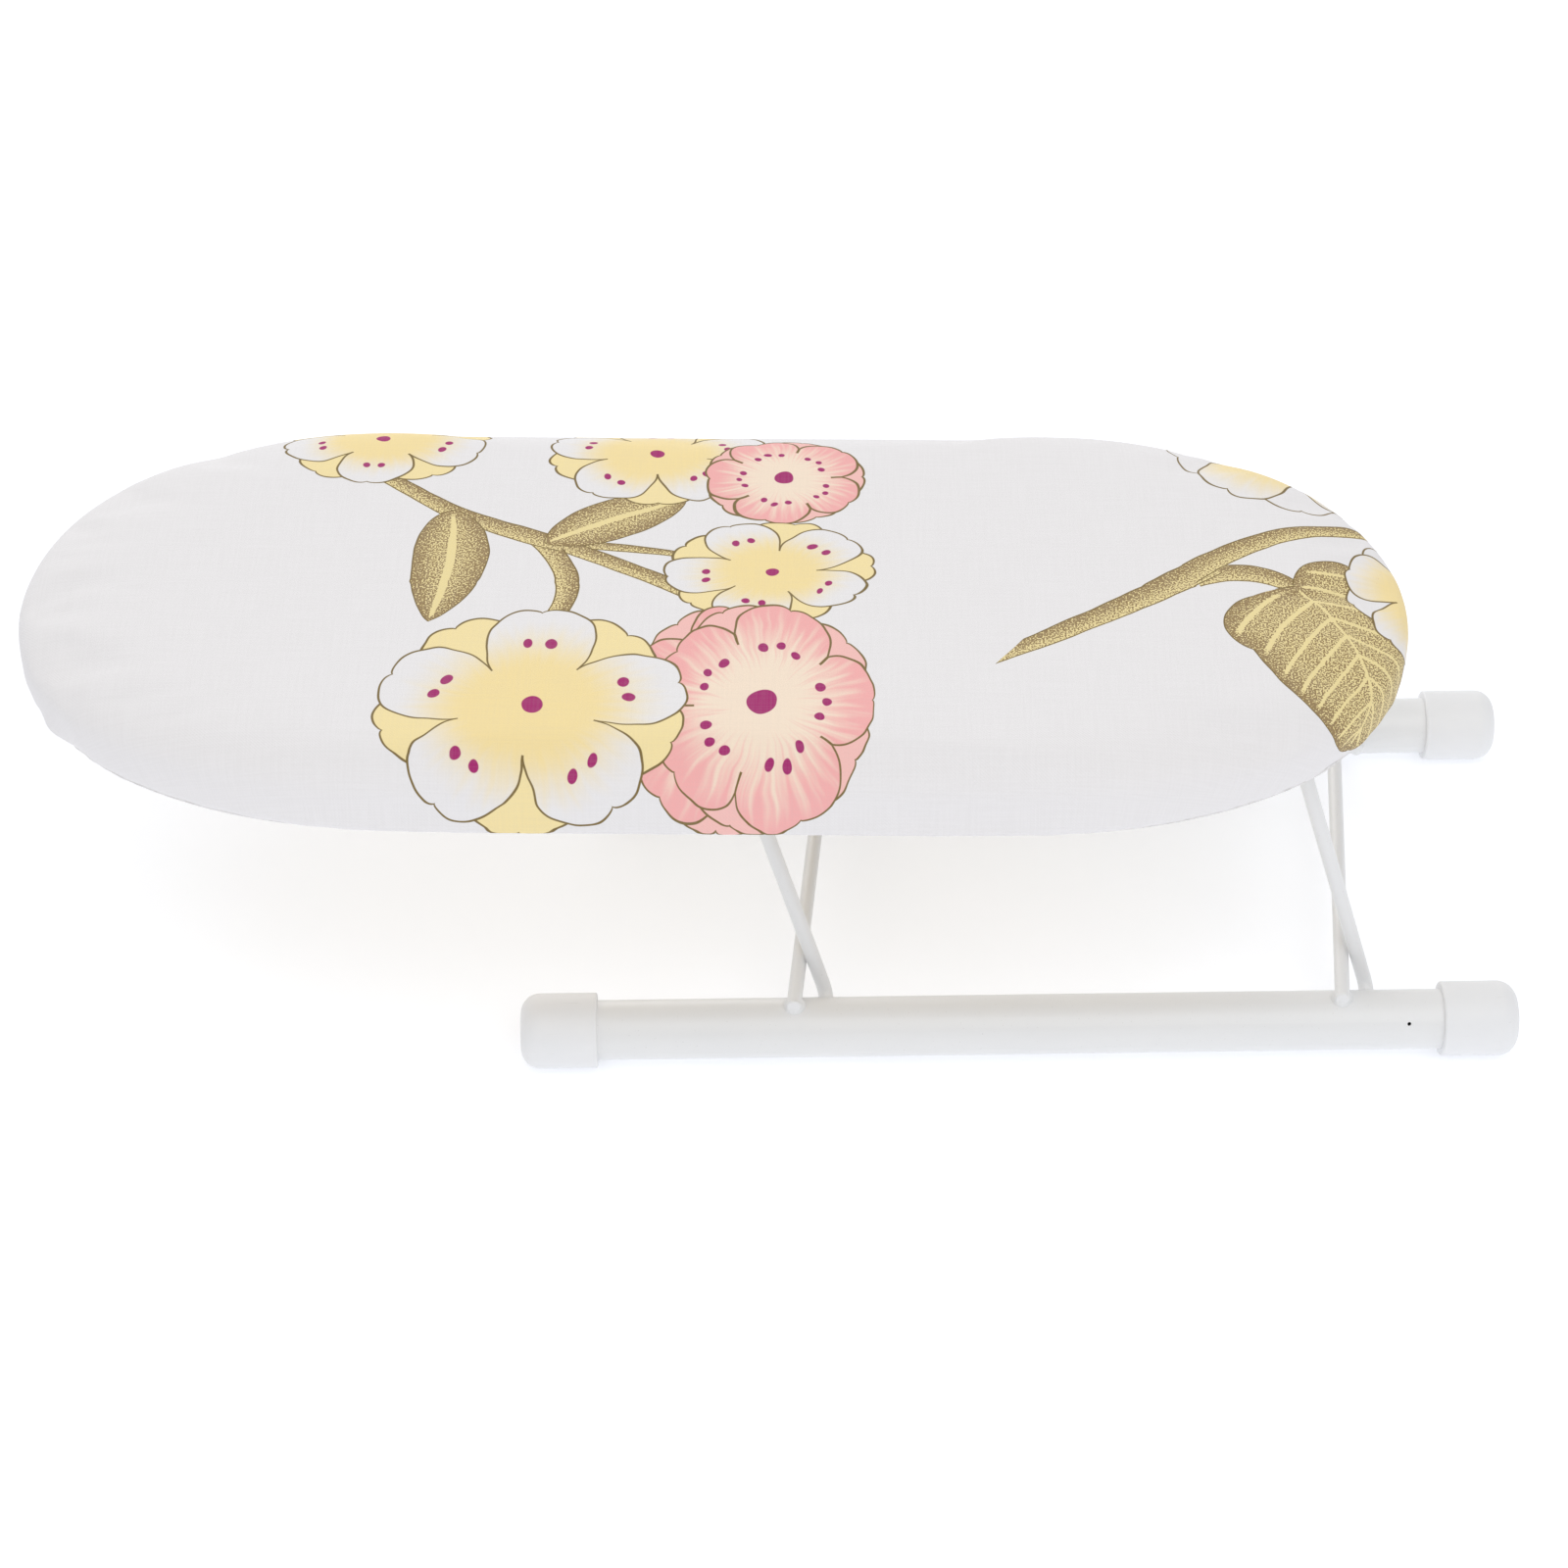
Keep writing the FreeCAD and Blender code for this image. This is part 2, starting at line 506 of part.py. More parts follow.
def saddle_clip(label, place):
    """A strap of sheet steel, humped round the crossbar and screwed flat to the panel on both
    sides.  In its own frame the crossbar lies along Y through the origin."""
    body = doc.addObject("PartDesign::Body", label)
    sketch = new_sketch(body, label + "_section", "XZ_Plane")
    thick, drop, half = size("clip_sheet"), size("crossbar_drop"), size("clip_length") / 2
    inner = size("wire_diameter") / 2 + size("clip_clearance")
    outer = inner + thick
    low = drop - thick
    corners = [(-half, drop), (-inner, drop), (-inner, 0), (inner, 0), (inner, drop), (half, drop),
               (half, low), (outer, low), (outer, 0), (-outer, 0), (-outer, low), (-half, low)]
    curves = []
    for i, corner in enumerate(corners):
        following = corners[(i + 1) % len(corners)]
        if i == 2:
            curves.append(arc((0, 0), inner, 180, 360))
        elif i == 8:
            curves.append(arc((0, 0), outer, 180, 360))
        else:
            curves.append(line(corner, following))
    sketch.addGeometry(curves, False)
    plain = ((0, END, 1, START), (3, END, 4, START), (4, END, 5, START), (5, END, 6, START),
             (6, END, 7, START), (9, END, 10, START), (10, END, 11, START), (11, END, 0, START))
    smooth = ((1, END, 2, START), (2, END, 3, START), (7, END, 8, END), (8, START, 9, START))
    for joint in plain:
        sketch.addConstraint(Sketcher.Constraint("Coincident", *joint))
    for joint in smooth:
        sketch.addConstraint(Sketcher.Constraint("Tangent", *joint))
    for number in (0, 4, 6, 10):
        sketch.addConstraint(Sketcher.Constraint("Horizontal", number))
    for number in (1, 3, 5, 7, 9, 11):
        sketch.addConstraint(Sketcher.Constraint("Vertical", number))
    clear = "Sizes.wire_diameter / 2 + Sizes.clip_clearance"
    for number, expression, radius in ((2, clear, inner), (8, clear + " + Sizes.clip_sheet", outer)):
        sketch.addConstraint(Sketcher.Constraint("Coincident", number, CENTRE, *ORIGIN))
        driven(sketch, expression, "Radius", number, radius)
    for number in (0, 4):
        driven(sketch, "Sizes.crossbar_drop", "DistanceY", *ORIGIN, number, START, drop)
    for number in (6, 10):
        driven(sketch, "Sizes.crossbar_drop - Sizes.clip_sheet", "DistanceY", *ORIGIN, number, START, low)
    driven(sketch, "Sizes.clip_length / 2", "DistanceX", 0, START, *ORIGIN, half)
    driven(sketch, "Sizes.clip_length / 2", "DistanceX", *ORIGIN, 5, START, half)
    pad = body.newObject("PartDesign::Pad", label + "_strap")
    pad.Profile = sketch
    pad.Midplane = True
    bind(pad, Length="Sizes.clip_width")
    doc.recompute()
    latest = pad
    bends = (("inside", outer, low, "Sizes.clip_bend"),
             ("outside", inner, drop, "Sizes.clip_bend + Sizes.clip_sheet"))
    for bend_name, across, level, radius in bends:
        corner = edges_where(latest.Shape,
                             lambda box: same(box.ZMin, box.ZMax, level)
                             and same(abs(box.XMin), abs(box.XMax), across))
        fillet = body.newObject("PartDesign::Fillet", f"{label}_{bend_name}_bend")
        fillet.Base = (latest, corner)
        bind(fillet, Radius=radius)
        doc.recompute()
        latest = fillet
    holes = new_sketch(body, label + "_holes", "XY_Plane")
    for sign in (-1, 1):
        number = holes.addGeometry(Part.Circle(Vector(sign * size("screw_pitch") / 2, 0, 0), UP,
                                               size("screw_hole") / 2), False)
        holes.addConstraint(Sketcher.Constraint("PointOnObject", number, CENTRE, X_AXIS))
        ends = (*ORIGIN, number, CENTRE) if sign > 0 else (number, CENTRE, *ORIGIN)
        driven(holes, "Sizes.screw_pitch / 2", "DistanceX", *ends, size("screw_pitch") / 2)
        driven(holes, "Sizes.screw_hole", "Diameter", number, size("screw_hole"))
    before = latest.Shape.Volume
    pocket = body.newObject("PartDesign::Pocket", label + "_punched")
    pocket.Profile = holes
    pocket.Type = "ThroughAll"
    pocket.Midplane = True
    doc.recompute()
    punched = 2 * math.pi * (size("screw_hole") / 2) ** 2 * thick
    if abs(before - pocket.Shape.Volume - punched) > 0.01 * punched:
        raise RuntimeError(f"{label}: the screw holes are not cut")
    body.Tip = pocket
    placed(body, place, skew_turn)
    return piece(label, body)


for clip_name, clip_place in clip_places.items():
    saddle_clip(f"{clip_name}_clip", clip_place)


# Screws --------------------------------------------------------------------------------------------

def screw_pattern():
    """A domed tapping screw, point up, with its seat at the origin and a cross recess."""
    body = doc.addObject("PartDesign::Body", "screw")
    sketch = new_sketch(body, "screw_section", "XZ_Plane")
    head, shank = size("head_diameter") / 2, size("screw_diameter") / 2
    height, length, tip = size("head_height"), size("screw_length"), size("screw_tip")
    edge = size("head_edge")
    dome = (head ** 2 + (height - edge) ** 2) / (2 * (height - edge))
    side = math.degrees(math.asin(head / dome))
    sketch.addGeometry([
        line((0, -height), (0, length)),
        line((0, length), (shank, length - tip)),
        line((shank, length - tip), (shank, 0)),
        line((shank, 0), (head, 0)),
        line((head, 0), (head, -edge)),
        arc((0, dome - height), dome, 270, 270 + side),
    ], False)
    for joint in ((0, END, 1, START), (1, END, 2, START), (2, END, 3, START), (3, END, 4, START),
                  (4, END, 5, END), (5, START, 0, START)):
        sketch.addConstraint(Sketcher.Constraint("Coincident", *joint))
    for number in (0, 2, 4):
        sketch.addConstraint(Sketcher.Constraint("Vertical", number))
    sketch.addConstraint(Sketcher.Constraint("Horizontal", 3))
    driven(sketch, "0", "DistanceX", *ORIGIN, 0, START, 0)
    sketch.addConstraint(Sketcher.Constraint("PointOnObject", 3, START, X_AXIS))
    sketch.addConstraint(Sketcher.Constraint("PointOnObject", 5, CENTRE, Y_AXIS))
    driven(sketch, "Sizes.head_height", "DistanceY", 0, START, *ORIGIN, height)
    driven(sketch, "Sizes.screw_length", "DistanceY", *ORIGIN, 0, END, length)
    driven(sketch, "Sizes.screw_length - Sizes.screw_tip", "DistanceY", *ORIGIN, 2, START, length - tip)
    driven(sketch, "Sizes.screw_diameter / 2", "DistanceX", *ORIGIN, 3, START, shank)
    driven(sketch, "Sizes.head_diameter / 2", "DistanceX", *ORIGIN, 4, START, head)
    driven(sketch, "Sizes.head_edge", "DistanceY", 4, END, *ORIGIN, edge)
    turned = body.newObject("PartDesign::Revolution", "screw_turned")
    turned.Profile = sketch
    turned.ReferenceAxis = (sketch, ["V_Axis"])
    turned.Angle = 360
    doc.recompute()
    slots = []
    for number, (long_side, short_side) in enumerate((("Length", "Width"), ("Width", "Length"))):
        slot = doc.addObject("Part::Box", f"screw_recess_{number}")
        bind(slot, **{long_side: "Sizes.recess_length", short_side: "Sizes.recess_width",
                      "Height": "Sizes.recess_depth"})
        doc.recompute()
        slots.append(placed(slot, Vector(-slot.Length.Value / 2, -slot.Width.Value / 2, -height)))
    return cut("screw_with_recess", body, *slots)


def screw_seats(clip_name):
    """Where the two screws of a clip bear on it."""
    seat = clip_places[clip_name] + Vector(0, 0, size("crossbar_drop") - size("clip_sheet"))
    across = skew_turn.multVec(Vector(size("screw_pitch") / 2, 0, 0))
    return seat - across, seat + across


def clip_screws(label, pattern, side):
    """The screws of one leg's clips, as a group of separate solids."""
    solids = []
    for clip_name in clip_places:
        if not clip_name.startswith(side):
            continue
        for seat in screw_seats(clip_name):
            shape = pattern.Shape.copy()
            shape.Placement = Placement(seat, skew_turn)
            solids.append(shape)
    group = doc.addObject("Part::Feature", label)
    group.Shape = Part.makeCompound(solids)
    return piece(label, group)


screw = screw_pattern()
for side in STATIONS:
    clip_screws(f"{side}_clip_screws", screw, side)


# Padded board --------------------------------------------------------------------------------------

THICKNESS = "Sizes.cover_thickness"
panel_blank = oval_slab("panel_blank", "Sizes.panel_inset", THICKNESS, "Sizes.panel_thickness",
                        "Sizes.panel_round", "Sizes.panel_round")
pilots = []
for clip_name in clip_places:
    for number, seat in enumerate(screw_seats(clip_name)):
        pilots.append(cylinder(f"{clip_name}_pilot_{number}", "Sizes.screw_diameter / 2",
                               "Sizes.screw_length", seat, UP))
piece("board_panel", cut("board_panel", panel_blank, *pilots))

pad_envelope = oval_slab("pad_envelope", THICKNESS, THICKNESS,
                         "Sizes.board_thickness - 2 * Sizes.cover_thickness",
                         "Sizes.rim_round - Sizes.cover_thickness",
                         "Sizes.underside_round - Sizes.cover_thickness")
piece("foam_pad", cut("foam_pad", pad_envelope, panel_blank))

cover_outside = oval_slab("cover_outside", "0", "0", "Sizes.board_thickness",
                          "Sizes.rim_round", "Sizes.underside_round")
# the opening under the board: it starts below the cover and ends above the cover's lip
cover_mouth = oval_slab("cover_mouth", "Sizes.lip_width", "-Sizes.cover_thickness",
                        "3 * Sizes.cover_thickness")
piece("fabric_cover", cut("fabric_cover", cover_outside, pad_envelope, cover_mouth))


def ring(name, outer_inset, inner_inset, height):
    """A flat ring hanging from the cover's underside, following the board's outline."""
    outside = oval_slab(name + "_outside", outer_inset, f"-({height})", height)
    inside = oval_slab(name + "_inside", inner_inset, f"-({height})", height)
    return cut(name, outside, inside)


elastic_out = "Sizes.lip_width - Sizes.hem_width / 2 - Sizes.elastic_width / 2"
elastic_in = "Sizes.lip_width - Sizes.hem_width / 2 + Sizes.elastic_width / 2"
elastic = ring("hem_elastic", elastic_out, elastic_in, "Sizes.elastic_height")
casing = ring("hem_ring", "Sizes.lip_width - Sizes.hem_width", "Sizes.lip_width", "Sizes.hem_height")
piece("cover_hem", cut("cover_hem", casing, elastic))
piece("hem_elastic", elastic)


# Check and write -----------------------------------------------------------------------------------

doc.recompute()
for obj in doc.Objects:
    if "Invalid" in obj.State or "Error" in obj.State:
        raise RuntimeError(f"{obj.Label} failed: {obj.State}")
os.makedirs("parts", exist_ok=True)
for node in nodes:
    shape = node.Shape
    if shape.isNull() or not shape.isValid() or not shape.Solids:
        raise RuntimeError(f"{node.Label} has no valid solid")
    shape.exportStep(f"parts/{node.Label}.step")
    print(f"{node.Label:24s} solids {len(shape.Solids):2d}  volume {shape.Volume / 1000:9.3f} cm3")
print(f"pivot axes run along {axis}, {skew:.3f} degrees off square")
for side in STATIONS:
    print(f"{side} leg: pivot {leg_pivot[side]}, crossbar {crossbar[side]}")
    print(f"{side} cross wire: middle {cross_wire_middle[side]}")
print(f"underside of the cover at {board_level:.3f}")
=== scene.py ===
import math

import bmesh
import bpy
import numpy as np
from mathutils import Matrix, Vector


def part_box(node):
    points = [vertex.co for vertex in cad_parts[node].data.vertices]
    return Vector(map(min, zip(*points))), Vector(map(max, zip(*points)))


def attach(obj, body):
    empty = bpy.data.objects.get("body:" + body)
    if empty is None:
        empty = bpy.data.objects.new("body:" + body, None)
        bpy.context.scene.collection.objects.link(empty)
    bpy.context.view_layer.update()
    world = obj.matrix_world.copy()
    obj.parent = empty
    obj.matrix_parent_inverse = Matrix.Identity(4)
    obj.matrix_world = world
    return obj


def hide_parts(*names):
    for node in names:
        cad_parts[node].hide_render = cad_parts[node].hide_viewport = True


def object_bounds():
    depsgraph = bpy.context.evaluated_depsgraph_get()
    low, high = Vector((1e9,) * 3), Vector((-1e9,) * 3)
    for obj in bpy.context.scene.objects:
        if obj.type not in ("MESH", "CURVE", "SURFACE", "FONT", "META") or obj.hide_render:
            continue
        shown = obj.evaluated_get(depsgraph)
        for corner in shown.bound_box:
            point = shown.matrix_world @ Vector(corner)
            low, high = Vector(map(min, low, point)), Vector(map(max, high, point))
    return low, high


# The looks of a folding sleeve ironing board, built around its CAD frame.
# Metres, +X along the board, +Y to the back, +Z up.

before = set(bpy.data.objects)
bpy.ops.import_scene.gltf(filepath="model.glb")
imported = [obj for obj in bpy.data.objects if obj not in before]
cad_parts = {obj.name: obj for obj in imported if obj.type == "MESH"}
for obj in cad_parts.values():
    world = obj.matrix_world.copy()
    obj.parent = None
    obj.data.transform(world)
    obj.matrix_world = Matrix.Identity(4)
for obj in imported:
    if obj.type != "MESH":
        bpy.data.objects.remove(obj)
cad_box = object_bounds()
MM = 0.001
WHITE = (1.0, 1.0, 1.0, 1.0)
CLOTH_PLACE = "cloth_place"     # the point attribute that holds each vertex's place on the flat cloth


def added(name, data):
    """A new object that shows data, linked into the scene."""
    thing = bpy.data.objects.new(name, data)
    bpy.context.scene.collection.objects.link(thing)
    return thing


# Shader nodes -----------------------------------------------------------------------------------

def srgb(red, green, blue):
    """A colour given as it looks on screen, from 0 to 255 each, as the light values that shaders use."""
    light = [(part / 255 / 12.92) if part < 11 else ((part / 255 + 0.055) / 1.055) ** 2.4
             for part in (red, green, blue)]
    return (*light, 1.0)


class Field:
    """A number that varies over a surface. Arithmetic on it adds Math nodes to its shader."""

    def __init__(self, paint, socket):
        self.paint, self.socket = paint, socket

    def __add__(self, other):
        return self.paint.math("ADD", self, other)

    def __sub__(self, other):
        return self.paint.math("SUBTRACT", self, other)

    def __rsub__(self, other):
        return self.paint.math("SUBTRACT", other, self)

    def __mul__(self, other):
        return self.paint.math("MULTIPLY", self, other)

    def __truediv__(self, other):
        return self.paint.math("DIVIDE", self, other)

    def __pow__(self, other):
        return self.paint.math("POWER", self, other)

    def __abs__(self):
        return self.paint.math("ABSOLUTE", self)


class Paint:
    """Short calls that add nodes to one shader tree and link them."""

    def __init__(self, tree):
        self.tree = tree

    def feed(self, socket, value):
        """Links value to socket if it is a field or a socket itself, or else sets it there."""
        if isinstance(value, Field):
            value = value.socket
        if isinstance(value, bpy.types.NodeSocket):
            self.tree.links.new(value, socket)
        else:
            socket.default_value = value

    def fill(self, node, inputs):
        """Feeds inputs of node, each known by its name or number."""
        for socket, value in inputs.items():
            self.feed(node.inputs[socket], value)

    def node(self, kind, inputs=(), **settings):
        """A new shader node of this kind, with its settings made and its inputs fed."""
        made = self.tree.nodes.new("ShaderNode" + kind)
        for name, value in settings.items():
            setattr(made, name, value)
        self.fill(made, dict(inputs))
        return made

    def math(self, operation, *values):
        """The result of one Math node."""
        made = self.node("Math", enumerate(values), operation=operation)
        return Field(self, made.outputs[0])

    def object_place(self):
        """Where a point is on its piece, in metres along the piece's own axes."""
        return self.node("TexCoord").outputs["Object"]

    def cloth_place(self):
        """Where a point is on the flat cloth, in metres."""
        return self.node("Attribute", attribute_name=CLOTH_PLACE).outputs["Vector"]

    def fade(self, value, start, end):
        """0 where value is start or before it, 1 where it is end or past it, smooth between."""
        inputs = {"Value": value, "From Min": start, "From Max": end}
        made = self.node("MapRange", inputs, interpolation_type="SMOOTHSTEP")
        return Field(self, made.outputs[0])

    def between(self, value, low, high):
        """value, from 0 to 1, spread evenly from low to high."""
        made = self.node("MapRange", {"Value": value, "To Min": low, "To Max": high})
        return Field(self, made.outputs[0])

    def mix(self, share, first, second):
        """The first colour where share is 0, the second where it is 1."""
        return self.node("Mix", {0: share, 6: first, 7: second}, data_type="RGBA").outputs[2]

    def parts(self, vector):
        """The three numbers of a vector."""
        made = self.node("SeparateXYZ", {0: vector})
        return [Field(self, output) for output in made.outputs]

    def vector(self, *numbers):
        """A vector from its three numbers."""
        return self.node("CombineXYZ", enumerate(numbers)).outputs[0]

    def vector_math(self, operation, *values):
        """The result of one Vector Math node."""
        return self.node("VectorMath", enumerate(values), operation=operation).outputs[0]

    def moved(self, vector, place, turn, size):
        """vector measured from place, along axes turned by turn, in units of size."""
        inputs = {"Vector": vector, "Location": (*place, 0), "Rotation": (0, 0, turn),
                  "Scale": (*size, 1)}
        return self.node("Mapping", inputs, vector_type="TEXTURE").outputs[0]

    def stretched(self, vector, scale):
        """vector with each of its numbers multiplied by its own part of scale."""
        return self.node("Mapping", {"Vector": vector, "Scale": scale}).outputs[0]

    def noise(self, vector, scale, detail, roughness=0.5):
        """Smooth noise, mostly around 0.5, that changes scale times over one unit of vector."""
        inputs = {"Vector": vector, "Scale": scale, "Detail": detail, "Roughness": roughness}
        return Field(self, self.node("TexNoise", inputs).outputs[0])

    def bump(self, height, distance, strength, under=None):
        """The surface direction over a relief: a height of 1 stands distance proud. A coarser bump can
        lie under it."""
        inputs = {"Height": height, "Distance": distance, "Strength": strength}
        if under is not None:
            inputs["Normal"] = under
        return self.node("Bump", inputs).outputs[0]

    def group(self, tree, **inputs):
        """The colour from a node group."""
        return self.node("Group", inputs, node_tree=tree).outputs[0]


def new_material(name):
    """A material with one Principled shader, and the Paint that works on it."""
    material = bpy.data.materials.new(name)
    material.use_nodes = True
    return material, Paint(material.node_tree), material.node_tree.nodes["Principled BSDF"]


SOCKET_KINDS = {"number": "NodeSocketFloat", "colour": "NodeSocketColor", "place": "NodeSocketVector"}


def new_group(name, inputs):
    """A node group with one colour output. Returns its tree, its Paint and its inputs by name."""
    tree = bpy.data.node_groups.new(name, "ShaderNodeTree")
    for label, kind in inputs.items():
        tree.interface.new_socket(label, in_out="INPUT", socket_type=SOCKET_KINDS[kind])
    tree.interface.new_socket("colour", in_out="OUTPUT", socket_type=SOCKET_KINDS["colour"])
    paint = Paint(tree)
    entry = tree.nodes.new("NodeGroupInput")
    given = {}
    for label, kind in inputs.items():
        socket = entry.outputs[label]
        given[label] = Field(paint, socket) if kind == "number" else socket
    return tree, paint, given


def close_group(paint, colour):
    """Sends colour out of the node group that paint works on."""
    way_out = paint.tree.nodes.new("NodeGroupOutput")
    paint.feed(way_out.inputs["colour"], colour)


# Plain materials --------------------------------------------------------------------------------

def powder_coat():
    """White powder coat: a soft shine over the fine ripple that the baked powder leaves."""
    material, paint, shader = new_material("white_powder_coat")
    place = paint.object_place()
    ripple = paint.noise(place, 620, detail=1.5)
    cloud = paint.noise(place, 22, detail=3)
    specks = paint.noise(place, 1900, detail=0)
    dust = paint.fade(specks, 0.80, 0.86) * 0.35
    tone = paint.mix(cloud, srgb(233, 234, 235), srgb(239, 239, 239))
    paint.fill(shader, {
        "Base Color": paint.mix(dust, tone, srgb(190, 189, 186)),
        "Roughness": paint.between(cloud, 0.30, 0.44),
        "Specular IOR Level": 0.5,
        "Coat Weight": 0.15,
        "Coat Roughness": 0.3,
        "Normal": paint.bump(ripple, 0.05 * MM, 0.6)})
    return material


def moulded_plastic():
    """White polyethylene with the matt grain of its mould and a few faint scuffs."""
    material, paint, shader = new_material("white_moulded_plastic")
    place = paint.object_place()
    grain = paint.noise(place, 2600, detail=1)
    cloud = paint.noise(place, 60, detail=3)
    rubbed = paint.noise(paint.stretched(place, (90, 900, 900)), 1.0, detail=2)
    scuffs = paint.fade(rubbed, 0.66, 0.8) * 0.25
    tone = paint.mix(cloud, srgb(235, 236, 238), srgb(241, 241, 242))
    paint.fill(shader, {
        "Base Color": paint.mix(scuffs, tone, srgb(214, 214, 213)),
        "Roughness": paint.between(cloud, 0.42, 0.56),
        "Subsurface Weight": 0.08,
        "Subsurface Radius": (2 * MM, 2 * MM, 2 * MM),
        "Normal": paint.bump(grain, 0.02 * MM, 0.5)})
    return material


def zinc_plate():
    """Bright zinc plating on pressed steel, a little cloudy and drawn along the strip."""
    material, paint, shader = new_material("zinc_plate")
    place = paint.object_place()
    drawn = paint.noise(paint.stretched(place, (160, 2400, 2400)), 1.0, detail=3)
    cloud = paint.noise(place, 180, detail=4, roughness=0.6)
    paint.fill(shader, {
        "Base Color": paint.mix(cloud, srgb(196, 199, 204), srgb(222, 221, 214)),
        "Metallic": 1.0,
        "Roughness": paint.between(drawn, 0.24, 0.46),
        "Normal": paint.bump(drawn, 0.02 * MM, 0.5)})
    return material


def fibre_board():
    """Pressed wood fibre, pale brown, with darker and paler fibres and a sealed, smooth face."""
    material, paint, shader = new_material("fibre_board")
    place = paint.object_place()
    fibres = paint.noise(paint.stretched(place, (260, 900, 900)), 1.0, detail=4, roughness=0.65)
    cross_fibres = paint.noise(paint.stretched(place, (1000, 240, 900)), 1.0, detail=4, roughness=0.65)
    cloud = paint.noise(place, 14, detail=3)
    felt = (fibres + cross_fibres) * 0.5
    tone = paint.mix(cloud, srgb(203, 190, 168), srgb(216, 204, 184))
    darker = paint.mix(paint.fade(felt, 0.56, 0.7), tone, srgb(158, 138, 112))
    paler = paint.mix(paint.fade(felt, 0.44, 0.32) * 0.8, darker, srgb(231, 221, 203))
    paint.fill(shader, {
        "Base Color": paler,
        "Roughness": paint.between(felt, 0.5, 0.75),
        "Normal": paint.bump(felt, 0.08 * MM, 0.5)})
    return material


# The printed cotton -----------------------------------------------------------------------------

COTTON = srgb(238, 236, 237)
YELLOW = srgb(248, 226, 166)
PALE_YELLOW = srgb(248, 229, 172)
PINK = srgb(247, 180, 178)
PALE_PINK = srgb(248, 196, 190)
CREAM = srgb(249, 230, 209)
MAGENTA = srgb(168, 42, 112)
OUTLINE = srgb(128, 108, 62)
DARK_GOLD = srgb(154, 130, 90)
PALE_GOLD = srgb(241, 223, 163)

LINE_CORE = 0.6             # a drawn line is solid this far from its middle, in line widths,
LINE_EDGE = 1.25            # and fades out by here

# A flower is drawn in a circle of radius 1.
PETALS = 5
SECTOR = 2 * math.pi / PETALS
PETAL_MIDDLE = 0.60
PETAL_HALF_LENGTH = 0.40
PETAL_LOBES = 1.5           # a lobe on each side of a notch at the petal's tip
NOTCH_SHARPNESS = 0.6       # less makes that notch narrower
LOBE_LEVEL = 0.7            # the lobes stand out where their wave is above this
PETAL_TAPER = 0.10          # more makes petals narrower at the heart
HEART_RADIUS = 0.45
DIVIDER_START = 0.62        # how far out the lines between the petals start

# A leaf is drawn 1 long. The lobes beside its stalk are round.
LOBE_FORWARD = 0.68         # how far ahead of the stalk a lobe's middle is, in lobe radii
LOBE_ASIDE = 0.97           # and how far to the side


def inside(paint, outside, line):
    """1 within a shape and 0 beyond it, from how far outside it a point is."""
    return paint.fade(outside, line * 0.5, line * -0.5)


def on_line(paint, outside, line):
    """1 on the drawn edge of a shape and 0 away from it, from how far outside it a point is."""
    return paint.fade(abs(outside), line * LINE_EDGE, line * LINE_CORE)


def stippled(paint, stipple, pale_share):
    """Dark gold dots over pale gold, closer together where pale_share is less."""
    speckled = paint.fade(stipple, pale_share - 0.05, pale_share + 0.08)
    return paint.mix(speckled, PALE_GOLD, DARK_GOLD)


def off_bow(x, y, bend):
    """How far off a point is from a middle line that bows out by bend between (0, 0) and (1, 0)."""
    return y - bend * 4 * x * (1 - x)


def petal_ring(paint, radius, angle, width, lobes):
    """Five petals round a heart. Returns how far outside them a point is, its place along and across
    the petal whose sector it is in, that petal's number and the angle from its middle line."""
    share = angle / SECTOR
    nearest = paint.math("ROUND", share)
    off = (share - nearest) * SECTOR
    along = radius * paint.math("COSINE", off)
    across = radius * paint.math("SINE", off)
    forward = (along - PETAL_MIDDLE) / PETAL_HALF_LENGTH
    taper = paint.math("MAXIMUM", along, 0.02) ** PETAL_TAPER
    sideways = across / (width * taper)
    round_petal = paint.math("ARCTAN2", sideways, forward)
    ripple = abs(paint.math("SINE", round_petal * PETAL_LOBES)) ** NOTCH_SHARPNESS - LOBE_LEVEL
    outer_half = paint.fade(forward, -0.4, 0.3)
    wave = ripple * lobes * outer_half + 1
    reach = (forward * forward + sideways * sideways) ** 0.5
    petal = (reach / wave - 1) * PETAL_HALF_LENGTH
    outside = paint.math("MINIMUM", petal, radius - HEART_RADIUS)
    return outside, along, across, nearest, off


def from_dot(right, back, stretch):
    """How far a point is from the middle of a dot, from how far to the right and to the back it is.
    The dot is stretched from front to back."""
    wide, deep = right * stretch, back / stretch
    return (wide * wide + deep * deep) ** 0.5


